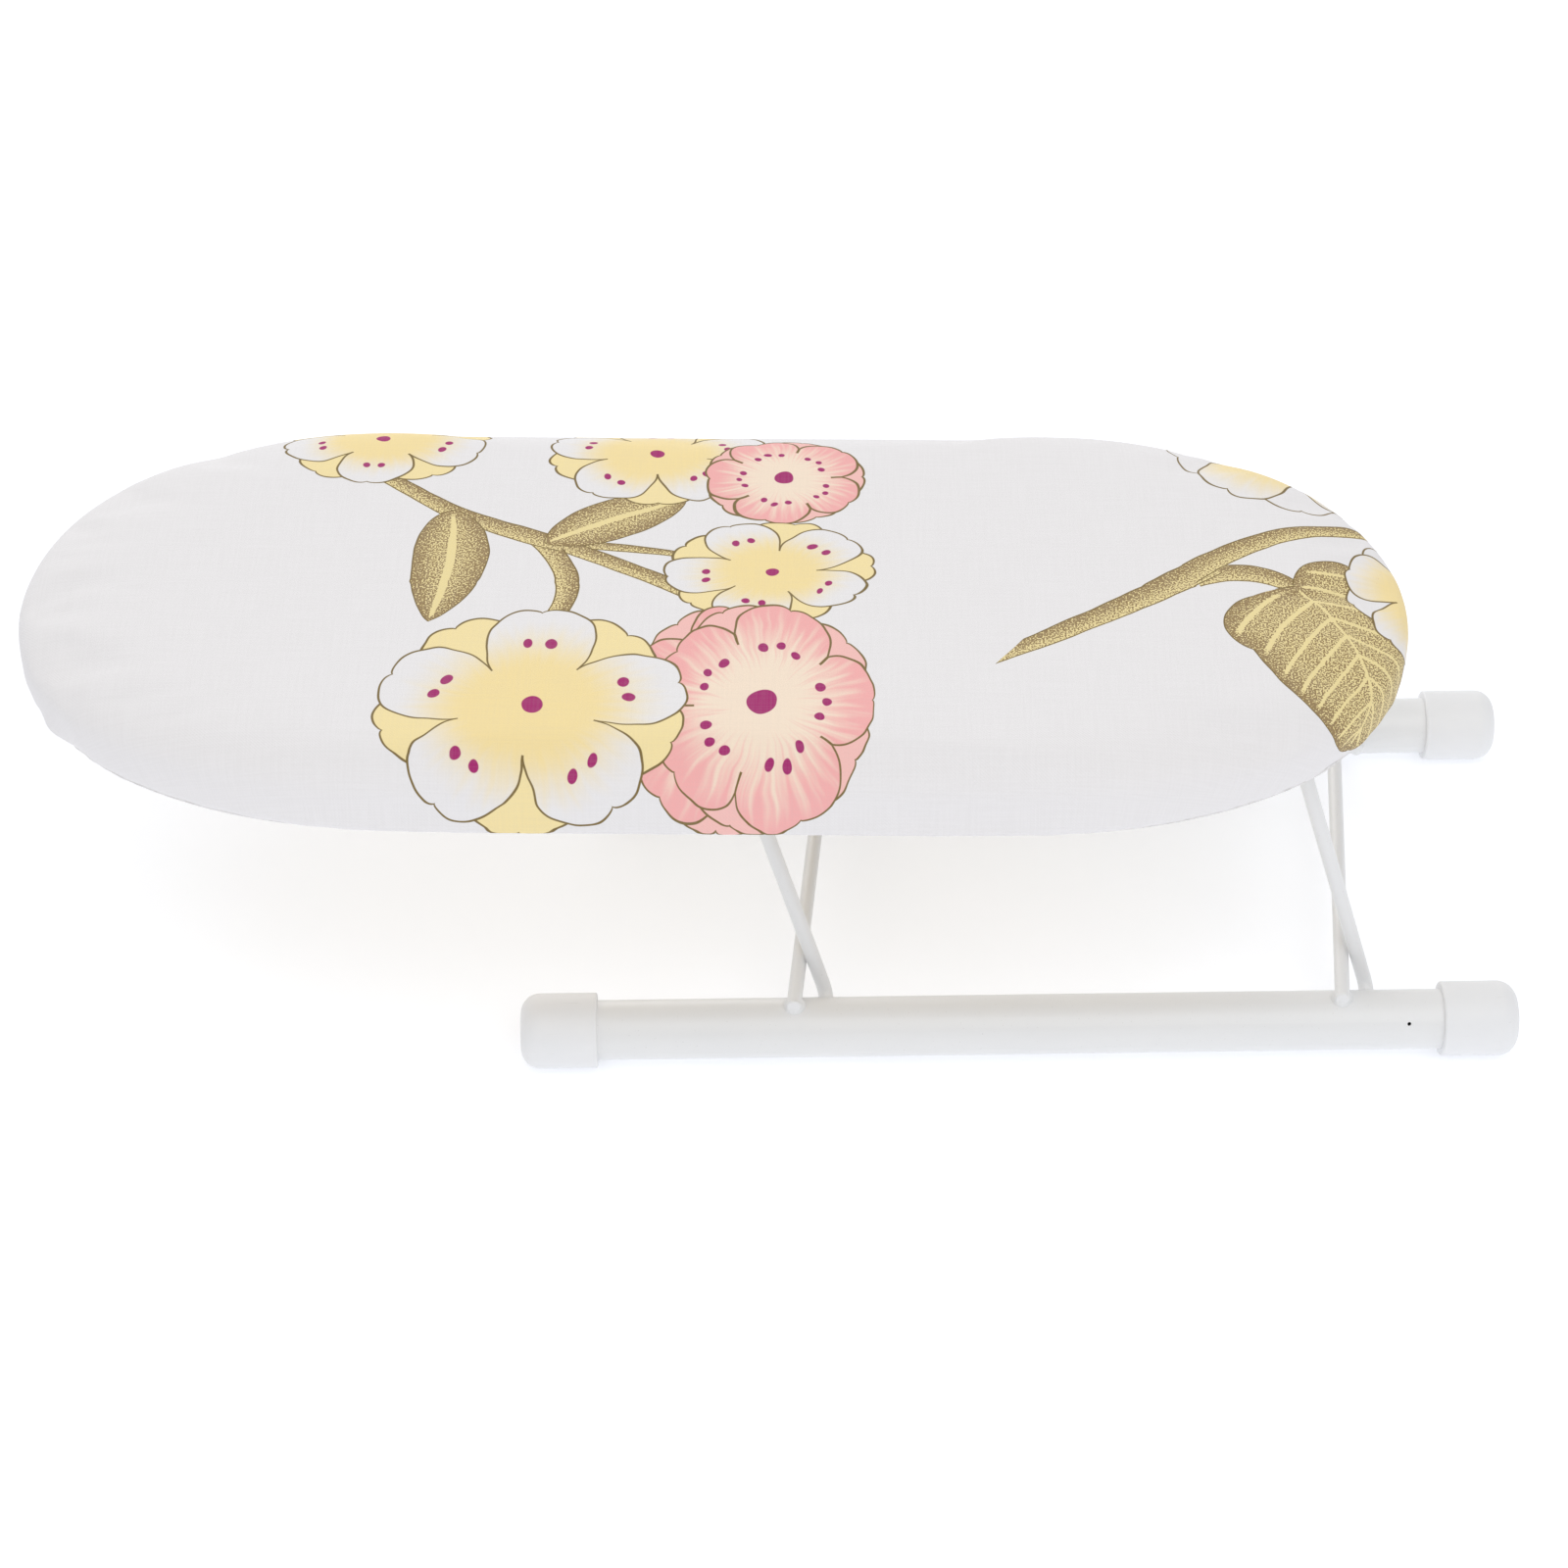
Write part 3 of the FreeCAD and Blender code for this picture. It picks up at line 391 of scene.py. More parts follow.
def flower_group():
    """A flower of five lobed petals over five plainer ones, in a circle of radius 1. Each front petal
    has two dots and sometimes a third, and the eye is one more dot."""
    tree, paint, given = new_group("printed_flower", {
        "place": "place", "under": "colour", "turn": "number", "line": "number",
        "petal width": "number", "lobes": "number", "heart": "colour", "tip": "colour",
        "back": "colour", "fade from": "number", "fade to": "number", "streaks": "number",
        "dot ring": "number", "dot gap": "number", "dot size": "number", "dot stretch": "number",
        "third dot": "number", "eye": "number"})
    line, stretch = given["line"], given["dot stretch"]
    width, lobes = given["petal width"], given["lobes"]
    x, y, _ = paint.parts(given["place"])
    radius = (x * x + y * y) ** 0.5
    angle = paint.math("ARCTAN2", y, x) - given["turn"]

    behind, *_ = petal_ring(paint, radius, angle + SECTOR / 2, width, lobes)
    colour = paint.mix(inside(paint, behind, line), given["under"], given["back"])
    colour = paint.mix(on_line(paint, behind, line), colour, OUTLINE)

    front, along, across, petal, off = petal_ring(paint, radius, angle, width, lobes)
    streak_place = paint.vector(off * 13 + petal * 7, radius * 1.6, 0)     # long and narrow
    streak = (paint.noise(streak_place, 1.0, detail=1.5) - 0.5) * given["streaks"]
    shade = paint.fade(radius + streak, given["fade from"], given["fade to"])
    petals = paint.mix(shade, given["heart"], given["tip"])
    colour = paint.mix(inside(paint, front, line), colour, petals)

    sector_edge = radius * paint.math("SINE", SECTOR / 2 - abs(off))
    divider = paint.math("MAXIMUM", sector_edge - line * 0.3, DIVIDER_START - radius)
    divider = paint.math("MAXIMUM", divider, front)
    drawn = paint.math("MINIMUM", abs(front), abs(divider))
    colour = paint.mix(on_line(paint, drawn, line), colour, OUTLINE)

    heading = petal * SECTOR + given["turn"]
    cosine, sine = paint.math("COSINE", heading), paint.math("SINE", heading)

    def from_petal_dot(ahead, aside):
        """How far a point is from a dot, from how far out past it and to the side of it the point is."""
        return from_dot(ahead * cosine - aside * sine, ahead * sine + aside * cosine, stretch)

    ahead = along - given["dot ring"]
    aside = across - paint.math("SIGN", across) * given["dot gap"]
    pair = from_petal_dot(ahead, aside) - given["dot size"]
    third = from_petal_dot(ahead - given["third dot"] * 1.5, across) - given["third dot"]
    eye = from_dot(x, y, stretch) - given["eye"]
    dots = paint.math("MINIMUM", paint.math("MINIMUM", pair, third), eye)
    colour = paint.mix(inside(paint, dots, line), colour, MAGENTA)
    close_group(paint, colour)
    return tree


def stem_group():
    """A bent stem from (0, 0) to (1, 0), stippled darker towards its left edge."""
    tree, paint, given = new_group("printed_stem", {
        "place": "place", "under": "colour", "stipple": "number", "line": "number", "bend": "number",
        "slant": "number", "start width": "number", "end width": "number"})
    line = given["line"]
    x, y, _ = paint.parts(given["place"])
    half = (given["start width"] + (given["end width"] - given["start width"]) * x) * 0.5
    off = off_bow(x, y, given["bend"])
    ends = paint.math("MAXIMUM", x - 1, off * given["slant"] - x)
    side = abs(off) - half
    pale_share = paint.fade(off / half, 0.9, -1.0) * 0.55 + 0.12
    colour = stippled(paint, given["stipple"], pale_share)
    colour = paint.mix(on_line(paint, side, line), colour, OUTLINE)
    whole = paint.math("MAXIMUM", side - line * 1.2, ends)
    colour = paint.mix(inside(paint, whole, line), given["under"], colour)
    close_group(paint, colour)
    return tree


def leaf_group():
    """A leaf from its stalk at (0, 0) to its tip at (1, 0), stippled, with pale veins."""
    tree, paint, given = new_group("printed_leaf", {
        "place": "place", "under": "colour", "stipple": "number", "line": "number",
        "width": "number", "fullness": "number", "taper": "number", "bend": "number",
        "veins": "number", "midrib": "number", "lobes": "number", "skew": "number"})
    line = given["line"]
    x, y, _ = paint.parts(given["place"])
    run = paint.math("MINIMUM", paint.math("MAXIMUM", x, 0.001), 0.999)
    half = given["width"] * run ** given["fullness"] * (1 - run) ** given["taper"]
    off = off_bow(x, y, given["bend"])
    ends = paint.math("MAXIMUM", x - 1, x * -1)
    blade = paint.math("MAXIMUM", abs(off) - half, ends)
    lobe_x = x - given["lobes"] * LOBE_FORWARD + given["skew"] * paint.math("SIGN", y)
    lobe_y = abs(y) - given["lobes"] * LOBE_ASIDE
    lobe = (lobe_x * lobe_x + lobe_y * lobe_y) ** 0.5 - given["lobes"]
    outside = paint.math("MINIMUM", blade, lobe)

    away_from_edge = paint.fade(outside, -0.01, -0.06)
    vein_slope = run * 0.9 + 0.35
    vein_phase = paint.math("FRACT", (x - abs(off) * vein_slope) * given["veins"])
    vein = paint.fade(abs(vein_phase - 0.5), 0.36, 0.45) * away_from_edge
    vein = vein * paint.math("MINIMUM", given["veins"], 1)
    midrib = paint.fade(abs(off) - x * (1 - x) * given["midrib"], 0.012, 0.004)
    pale = paint.math("MAXIMUM", vein, midrib * away_from_edge)
    blade_share = paint.fade(outside, 0.0, -0.14) * 0.36 + 0.10
    pale_share = paint.math("MAXIMUM", blade_share, pale * 1.1)
    colour = stippled(paint, given["stipple"], pale_share)
    colour = paint.mix(inside(paint, outside, line), given["under"], colour)
    colour = paint.mix(on_line(paint, outside, line), colour, OUTLINE)
    close_group(paint, colour)
    return tree


# Places on the print are from the middle of the board, x towards the right tip, y to the back.
STYLES = {
    "yellow": {"petal width": 0.362, "lobes": 0.20, "heart": YELLOW, "tip": COTTON,
               "back": PALE_YELLOW, "fade from": 0.38, "fade to": 0.88, "streaks": 0.22,
               "dot ring": 0.62, "dot gap": 0.078, "dot size": 0.042, "dot stretch": 1.14,
               "third dot": 0.0, "eye": 0.075},
    "pink": {"petal width": 0.445, "lobes": 0.19, "heart": CREAM, "tip": PINK,
             "back": PALE_PINK, "fade from": 0.38, "fade to": 0.92, "streaks": 0.95,
             "dot ring": 0.52, "dot gap": 0.145, "dot size": 0.043, "dot stretch": 1.0,
             "third dot": 0.040, "eye": 0.13},
}
STYLES["plain"] = {**STYLES["yellow"], "back": COTTON, "fade from": 0.50, "fade to": 1.0,
                   "dot size": 0.0, "eye": 0.0}
STYLES["petals"] = {**STYLES["pink"], "dot size": 0.0, "third dot": 0.0, "eye": 0.0}
STEMS = (
    # start, end, bend to the left of the way, slant of the start, width at the start and at the end
    ((-0.060, 0.024), (-0.008, 0.016), 0.0012, 0, 0.0050, 0.0026),
    ((-0.060, 0.025), (-0.006, -0.007), 0.0010, 0, 0.0070, 0.0070),
    ((-0.063, 0.024), (-0.055, -0.018), 0.0060, 0, 0.0085, 0.0078),
    ((-0.124, 0.066), (-0.054, 0.0225), -0.0050, 0, 0.0064, 0.0085),
    ((0.176, 0.0055), (0.2095, 0.0005), 0.0052, 0, 0.0100, 0.0085),
    ((0.105, -0.0385), (0.180, 0.0135), -0.0019, 2.2, 0.0070, 0.0125),
    ((0.172, 0.0080), (0.242, 0.0425), 0.0062, 0, 0.0112, 0.0050),
)
LEAVES = (
    # stalk, tip, half width, shape at the stalk and at the tip (less is rounder), bend, veins,
    # width of the midrib, lobes beside the stalk and how much further back the left one is
    ((-0.0965, 0.044), (-0.1005, -0.0235), 0.0135, 0.55, 0.75, 0.0025, 0, 0.07, 0.0, 0.0),
    ((-0.062, 0.024), (-0.0115, 0.0515), 0.0118, 0.70, 0.70, 0.001, 0, 0.07, 0.0, 0.0),
    ((0.2095, 0.001), (0.2345, -0.079), 0.0355, 0.32, 0.55, 0.0080, 8, 0.0, 0.20, 0.085),
)
FLOWERS = (
    # style, centre, half width and half depth, direction of one petal in degrees
    ("yellow", (-0.126, 0.0925), (0.040, 0.032), 264),
    ("yellow", (-0.0225, 0.0825), (0.0425, 0.035), 90),
    ("pink", (0.025, 0.066), (0.0300, 0.0295), 40),
    ("yellow", (0.0205, 0.0075), (0.0385, 0.0305), 186),
    ("petals", (0.006, -0.070), (0.036, 0.057), 230),
    ("pink", (0.019, -0.0685), (0.040, 0.057), 75),
    ("yellow", (-0.0615, -0.0715), (0.055, 0.0565), 88),
    ("plain", (0.219, 0.100), (0.050, 0.050), 232),
    ("plain", (0.266, 0.004), (0.038, 0.038), 160),
)
OUTLINE_WIDTH = 0.48 * MM
THIN_OUTLINE_WIDTH = 0.6 * OUTLINE_WIDTH    # round stems and leaves
FLOWER_SWAY = 9 * MM        # how unsteadily the flowers are drawn
STEM_SWAY = 3 * MM          # and the stems and leaves
THREAD_PITCH = 0.62 * MM
STITCH_PITCH = 3.2 * MM
STITCH_PLACE = 13.9 * MM    # round the hem's section, near the hem's outer edge


def along_way(paint, place, start, end):
    """place as seen on the way from start to end, in units of its length, and that length."""
    way = Vector(end) - Vector(start)
    return paint.moved(place, start, math.atan2(way.y, way.x), (way.length, way.length)), way.length


def print_colour(paint, place):
    """The cover's floral print over white cotton, drawn by a slightly unsteady hand."""
    sway = paint.node("TexNoise", {"Vector": place, "Scale": 34, "Detail": 2.0}).outputs["Color"]
    sway = paint.vector_math("SUBTRACT", sway, (0.5, 0.5, 0.5))

    def unsteady(amount):
        """place, moved aside by up to half of amount either way."""
        shift = paint.vector_math("MULTIPLY", sway, (amount, amount, 0.0))
        return paint.vector_math("ADD", place, shift)

    flower_place, stem_place = unsteady(FLOWER_SWAY), unsteady(STEM_SWAY)
    stipple = paint.fade(paint.noise(place, 1500, detail=0.5), 0.30, 0.70)
    stem, leaf, flower = stem_group(), leaf_group(), flower_group()
    colour = COTTON
    for start, end, bend, slant, start_width, end_width in STEMS:
        spot, unit = along_way(paint, stem_place, start, end)
        sizes = {"bend": bend / unit, "start width": start_width / unit, "end width": end_width / unit}
        colour = paint.group(stem, place=spot, under=colour, stipple=stipple, slant=slant,
                             line=THIN_OUTLINE_WIDTH / unit, **sizes)
    for start, end, width, fullness, taper, bend, veins, midrib, lobes, skew in LEAVES:
        spot, unit = along_way(paint, stem_place, start, end)
        widest = fullness / (fullness + taper)
        peak = widest ** fullness * (1 - widest) ** taper
        colour = paint.group(leaf, place=spot, under=colour, stipple=stipple,
                             line=THIN_OUTLINE_WIDTH / unit, width=width / unit / peak,
                             fullness=fullness, taper=taper, bend=bend / unit, veins=veins,
                             midrib=midrib, lobes=lobes, skew=skew)
    for style, centre, size, direction in FLOWERS:
        spot = paint.moved(flower_place, centre, 0, size)
        colour = paint.group(flower, place=spot, under=colour, turn=math.radians(direction),
                             line=OUTLINE_WIDTH / max(size), **STYLES[style])
    return colour


def weave(paint, place):
    """Height of a plain weave, and the unevenness of its threads."""
    x, y, _ = paint.parts(place)
    turns = 2 * math.pi / (2 * THREAD_PITCH)    # each thread goes over one and under the next
    over = paint.math("SINE", x * turns) * paint.math("SINE", y * turns)
    warp = paint.noise(paint.stretched(place, (1300, 45, 1)), 1.0, detail=1)
    weft = paint.noise(paint.stretched(place, (45, 1300, 1)), 1.0, detail=1)
    slubs = (warp + weft) * 0.5
    return over * 0.25 + slubs, slubs


def printed_cotton():
    """The cover's cloth: plain white cotton with a floral print."""
    material, paint, shader = new_material("printed_cotton")
    place = paint.cloth_place()
    colour = print_colour(paint, place)
    height, slubs = weave(paint, place)
    thread = paint.fade(slubs, 0.62, 0.38)
    paint.fill(shader, {
        "Base Color": paint.mix(thread * 0.06, colour, srgb(196, 192, 190)),
        "Roughness": paint.between(slubs, 0.82, 0.96),
        "Specular IOR Level": 0.25,
        "Sheen Weight": 0.12,
        "Sheen Roughness": 0.5,
        "Normal": paint.bump(height, 0.12 * MM, 0.55)})
    return material


def hem_tape():
    """The turned hem's plain cotton, drawn up by its elastic, with shade painted into its folds, and one
    line of stitches.
    """
    material, paint, shader = new_material("hem_cotton")
    place = paint.cloth_place()
    height, slubs = weave(paint, place)
    folds = paint.noise(paint.stretched(place, (420, 60, 1)), 1.0, detail=2)
    # painted shade: the cloth's colour is darkened where the fold noise says it creases in
    painted_fold_shade = paint.fade(folds, 0.55, 0.35) * 0.35
    colour = paint.mix(painted_fold_shade, srgb(236, 234, 233), srgb(205, 202, 200))
    along, around, _ = paint.parts(place)
    in_stitch = paint.fade(abs(paint.math("FRACT", along / STITCH_PITCH) - 0.5), 0.40, 0.34)
    on_seam = paint.fade(abs(around - STITCH_PLACE), 0.34 * MM, 0.20 * MM)
    stitch = in_stitch * on_seam
    creases = paint.bump(folds + stitch * 0.5, 0.5 * MM, 0.6)
    paint.fill(shader, {
        "Base Color": paint.mix(stitch * 0.8, colour, srgb(182, 176, 168)),
        "Roughness": paint.between(slubs, 0.82, 0.96),
        "Sheen Weight": 0.12,
        "Normal": paint.bump(height, 0.12 * MM, 0.55, under=creases)})
    return material


# The board's outline ----------------------------------------------------------------------------

BOARD_TURN = math.radians(-1.8)
END_LENGTH = 133 * MM       # from where the straight sides stop to the tip
TIP_RADIUS = 97 * MM


def board_axes():
    """The board's own axes in the row frame, its origin under its middle, and its half sizes."""
    low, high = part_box("fabric_cover")
    middle = Vector(((low.x + high.x) / 2, (low.y + high.y) / 2, 0))
    axes = Matrix.Translation(middle) @ Matrix.Rotation(BOARD_TURN, 4, "Z")
    back = axes.inverted()
    corners = [back @ vertex.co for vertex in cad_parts["fabric_cover"].data.vertices]
    return axes, max(c.x for c in corners), max(c.y for c in corners)


axes, half_length, half_width = board_axes()
cover_low, cover_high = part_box("fabric_cover")
panel_low, panel_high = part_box("board_panel")
hem_low, hem_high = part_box("cover_hem")

straight = half_length - END_LENGTH
tip_x = half_length - TIP_RADIUS
shoulder = (tip_x - straight) ** 2 + half_width ** 2 - TIP_RADIUS ** 2
shoulder /= 2 * (half_width - TIP_RADIUS)
shoulder_angle = math.atan2(tip_x - straight, shoulder - half_width)
quarter = straight + shoulder * shoulder_angle + TIP_RADIUS * (math.pi / 2 - shoulder_angle)


def quarter_outline(run):
    """A point of the outline and its outward direction, run along it from the middle of the back
    edge towards the right tip. The third part is how sharply it curves there."""
    if run < straight:
        return (run, half_width), (0, 1), 0.0
    run -= straight
    if run < shoulder * shoulder_angle:
        turn = run / shoulder
        out = (math.sin(turn), math.cos(turn))
        centre = (straight, half_width - shoulder)
        return (centre[0] + shoulder * out[0], centre[1] + shoulder * out[1]), out, 1 / shoulder
    turn = shoulder_angle + (run - shoulder * shoulder_angle) / TIP_RADIUS
    out = (math.sin(turn), math.cos(turn))
    return (tip_x + TIP_RADIUS * out[0], TIP_RADIUS * out[1]), out, 1 / TIP_RADIUS


def outline(count):
    """count points evenly round the board, clockwise from the middle of its back edge."""
    points, outs, curves = [], [], []
    for index in range(count):
        lap, run = divmod(index * 4 * quarter / count + 1e-9, quarter)
        if lap % 2:
            run = quarter - run
        (x, y), (out_x, out_y), curve = quarter_outline(run)
        side_x = 1 if lap < 2 else -1
        side_y = 1 if lap in (0, 3) else -1
        points.append((x * side_x, y * side_y))
        outs.append((out_x * side_x, out_y * side_y))
        curves.append(curve)
    return np.array(points), np.array(outs), np.array(curves)


def small_folds(count, trains):
    """The height of uneven small folds at count points round the board. For each train of waves:
    its height, how many there are in the round, where they start, and how strongly and how often
    they crowd together."""
    lap = 2 * math.pi * np.arange(count) / count
    folds = np.zeros(count)
    for height, number, start, crowding, crowds in trains:
        folds += height * np.sin(lap * number + start + crowding * np.sin(lap * crowds))
    return folds


# The padded cover -------------------------------------------------------------------------------

ROUND_POINTS = 320
TOP_RINGS = 26              # between the rim and the pad's middle line
CEILING_RINGS = 6           # the same, over the panel
SPINE_SHARE = 0.76          # the pad's middle line, as a share of its length
RIM_ROUND = 10.5 * MM       # between the top and the sides
UNDERSIDE_ROUND = 3.2 * MM
LIP_WIDTH = 11 * MM         # how far the cover turns in under the board
TOP_TUCK = 1.0 * MM         # how much lower the shape is before it swells
SIDE_FULLNESS = 1.0 * MM    # how far its sides stand out past the CAD outline
PANEL_INSET = 5 * MM        # from the outline to the edge of the hard panel
PANEL_GAP = 0.12 * MM       # between the panel and the pad
CAVITY_ROUND = 1.5 * MM
SWELL_FRAMES = 20
SWELL_CAP = 3.2 * MM        # the furthest that any point may move as the pad swells
HELD_ROWS = 4               # rows under the board, which the elastic holds still
PUCKERS = ((1.0, 83, 0, 2.1, 7), (0.6, 57, 1.3, 1.7, 5))    # trains of waves, for small_folds
PUCKER_UNDER = 0.45 * MM
PUCKER_SIDE = 0.42 * MM
PUCKER_REACH = 11 * MM      # how far up the side the puckers run out
STRAIGHT_SHARE = 0.25       # of the puckers' depth that is left on the straight sides
EDGE_BLUR = 12              # points either way over which the depth changes between ends and sides
BUNCH_DROP = 0.3            # share of a bunch's depth by which it also hangs down
BUNCHES = (
    # where the gathered cover stands out a little, or is pinched in: place, depth and reach
    ((-0.2310, -0.0560), 2.4 * MM, 5.5 * MM),
    ((0.2190, -0.0695), -1.3 * MM, 4.0 * MM),
)


def skin_rows():
    """The cover's section from its mouth, under the board, round the side to its flat top: for each
    row how far in from the outline it is, and its height."""
    under = cover_low.z
    top = cover_high.z - TOP_TUCK
    side = -SIDE_FULLNESS
    rows = [(inset, under) for inset in np.linspace(LIP_WIDTH, UNDERSIDE_ROUND, HELD_ROWS)]
    for angle in np.radians([30, 60, 90]):
        rows.append((side + (UNDERSIDE_ROUND - side) * (1 - math.sin(angle)),
                     under + UNDERSIDE_ROUND * (1 - math.cos(angle))))
    rows.append((side, (under + UNDERSIDE_ROUND + top - RIM_ROUND) / 2))
    for angle in np.radians([0, 18, 36, 54, 72, 90]):
        rows.append((side + (RIM_ROUND - side) * (1 - math.cos(angle)),
                     top - RIM_ROUND * (1 - math.sin(angle))))
    return rows


def cavity_rows():
    """The section of the space in the pad that the hard panel fills, in rows from the mouth inwards."""
    side = PANEL_INSET - PANEL_GAP
    floor = panel_low.z - PANEL_GAP / 2
    ceiling = panel_high.z + PANEL_GAP
    return [(LIP_WIDTH, floor), (side + CAVITY_ROUND, floor), (side, floor + CAVITY_ROUND),
            (side, ceiling - CAVITY_ROUND), (side + CAVITY_ROUND, ceiling)]


def ring(points, outs, inset, height):
    """The outline drawn in by inset, at one height."""
    flat = points - outs * inset
    return np.column_stack([flat, np.full(len(flat), height)])


def towards_spine(rim_ring, shares, height):
    """Rings from a rim to the middle line of the oval."""
    spine = np.column_stack([rim_ring[:, 0] * SPINE_SHARE, np.zeros(len(rim_ring))])
    rings = []
    for share in shares:
        flat = rim_ring[:, :2] * (1 - share) + spine * share
        rings.append(np.column_stack([flat, np.full(len(flat), height)]))
    return rings


def pad_mesh():
    """The pad with its cover as one closed mesh, in the board's own axes, before it swells.
    Returns the mesh, each vertex's place on the flat cloth, and which vertices are held still."""
    points, outs, _ = outline(ROUND_POINTS)
    rows = skin_rows()
    rings = [ring(points, outs, inset, height) for inset, height in rows]
    flats = []
    reach = 0.0
    for row in range(len(rows) - 1, -1, -1):
        if row < len(rows) - 1:
            reach += math.dist(rows[row], rows[row + 1])
        flats.insert(0, points - outs * (rows[-1][0] - reach))
    held = [row < HELD_ROWS for row in range(len(rows))]
    top_shares = np.linspace(0, 1, TOP_RINGS + 1)[1:]
    rings += towards_spine(rings[-1], top_shares, rows[-1][1])
    flats += [top_ring[:, :2] for top_ring in rings[len(rows):]]
    held += [False] * len(top_shares)
    outer_rings = len(rings)
    cavity = cavity_rows()
    rings += [ring(points, outs, inset, height) for inset, height in cavity]
    ceiling_shares = np.linspace(0, 1, CEILING_RINGS + 1)[1:]
    rings += towards_spine(rings[-1], ceiling_shares, cavity[-1][1])
    flats += [inner[:, :2] for inner in rings[outer_rings:]]
    held += [True] * (len(rings) - outer_rings)
    return closed_mesh(rings, outer_rings), np.concatenate(flats), np.repeat(held, ROUND_POINTS)


def closed_mesh(rings, outer_rings):
    """Joins the outer rings from the mouth to the spine, and the cavity's rings the same way."""
    count = ROUND_POINTS

    def index_of(ring_number, place):
        """The number of a ring's vertex at a place, which may be past the end of its lap."""
        place %= count
        if ring_number in (outer_rings - 1, len(rings) - 1):
            place = min(place, (count // 2 - place) % count)   # both sides share the spine
        return ring_number * count + place

    faces = []
    links = [(row, row + 1, True) for row in range(outer_rings - 1)]
    links += [(0, outer_rings, False)]
    links += [(row, row + 1, False) for row in range(outer_rings, len(rings) - 1)]
    for first, second, flipped in links:
        for place in range(count):
            face = [index_of(first, place), index_of(first, place + 1),
                    index_of(second, place + 1), index_of(second, place)]
            faces.append(face[::-1] if flipped else face)
    mesh = bpy.data.meshes.new("padded_cover")
    mesh.from_pydata([tuple(co) for co in np.concatenate(rings)], [], faces)
    return mesh


def swell(piece, held):
    """Lets the pad swell under its cover by a short cloth simulation, and keeps the result."""
    group = piece.vertex_groups.new(name="held")
    group.add([int(index) for index in np.flatnonzero(held)], 1.0, "REPLACE")
    cloth = piece.modifiers.new("swell", "CLOTH")
    settings = cloth.settings
    settings.quality = 5
    settings.mass = 0.3
    settings.tension_stiffness = 25
    settings.compression_stiffness = 25
    settings.shear_stiffness = 12
    settings.bending_stiffness = 1.2
    settings.use_pressure = True
    settings.uniform_pressure_force = 4
    settings.vertex_group_mass = "held"
    settings.effector_weights.gravity = 0
    cloth.collision_settings.use_collision = False
    cloth.point_cache.frame_start = 1
    cloth.point_cache.frame_end = SWELL_FRAMES
    scene = bpy.context.scene
    for step in range(1, SWELL_FRAMES + 1):
        scene.frame_set(step)
    shown = piece.evaluated_get(bpy.context.evaluated_depsgraph_get())
    start, end = vertex_places(piece.data), vertex_places(shown.data)
    piece.modifiers.remove(cloth)
    piece.vertex_groups.remove(group)
    scene.frame_set(1)
    shift = end - start
    far = np.linalg.norm(shift, axis=1, keepdims=True)
    shift *= SWELL_CAP * np.tanh(far / SWELL_CAP) / np.maximum(far, 1e-9)
    set_places(piece.data, start + shift)


def vertex_places(mesh):
    """The places of a mesh's vertices, one row each."""
    places = np.zeros(len(mesh.vertices) * 3)
    mesh.vertices.foreach_get("co", places)
    return places.reshape(-1, 3)


def set_places(mesh, places):
    """Moves a mesh's vertices to places."""
    mesh.vertices.foreach_set("co", places.astype(np.float32).ravel())
    mesh.update()


def gather(piece):
    """Puckers the cover where the elastic draws it in: strongest at the mouth and at the curved
    ends, gone further up the side."""
    points, outs, curves = outline(ROUND_POINTS)
    looped = np.concatenate([curves[-EDGE_BLUR:], curves, curves[:EDGE_BLUR]])
    window = 2 * EDGE_BLUR + 1
    ends = np.convolve(looped, np.ones(window) / window, "valid") * TIP_RADIUS
    depth = STRAIGHT_SHARE + (1 - STRAIGHT_SHARE) * ends
    waves = small_folds(ROUND_POINTS, PUCKERS)
    bunch = np.zeros(ROUND_POINTS)
    for place, bunch_depth, reach in BUNCHES:
        away = np.linalg.norm(points - np.array(place), axis=1)
        bunch += bunch_depth * np.exp(-(away / reach) ** 2)
    places = vertex_places(piece.data)
    for row in range(len(skin_rows())):
        rows = slice(row * ROUND_POINTS, (row + 1) * ROUND_POINTS)
        height = places[rows, 2]
        share = np.clip(1 - (height - cover_low.z) / PUCKER_REACH, 0, 1) ** 1.5
        if row < HELD_ROWS:
            hanging = np.maximum(bunch, 0) * BUNCH_DROP
            places[rows, 2] -= PUCKER_UNDER * np.abs(waves * depth * share) + hanging
        else:
            places[rows, :2] += outs * ((PUCKER_SIDE * waves * depth + bunch) * share)[:, None]
    set_places(piece.data, places)


def finish_piece(piece, material, body, subdivisions=0):
    """Subdivides a made piece, shades it smooth, and gives it its material and body."""
    if subdivisions:
        smooth = piece.modifiers.new("smooth", "SUBSURF")
        smooth.levels = smooth.render_levels = subdivisions
        shown = piece.evaluated_get(bpy.context.evaluated_depsgraph_get())
        final = bpy.data.meshes.new_from_object(shown)
        piece.modifiers.clear()
        piece.data = final
    piece.data.materials.clear()
    piece.data.materials.append(material)
    piece.data.polygons.foreach_set("use_smooth", [True] * len(piece.data.polygons))
    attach(piece, body)


def new_piece(name, mesh):
    """A piece whose mesh is drawn along the board's own axes."""
    piece = added(name, mesh)
    piece.matrix_world = axes
    bpy.context.view_layer.update()
    return piece


def keep_cloth_places(mesh, flats):
    """Notes on each vertex where it lies on the flat cloth, for the print and the weave."""
    attribute = mesh.attributes.new(CLOTH_PLACE, "FLOAT_VECTOR", "POINT")
    places = np.column_stack([flats, np.zeros(len(flats))])
    attribute.data.foreach_set("vector", places.astype(np.float32).ravel())


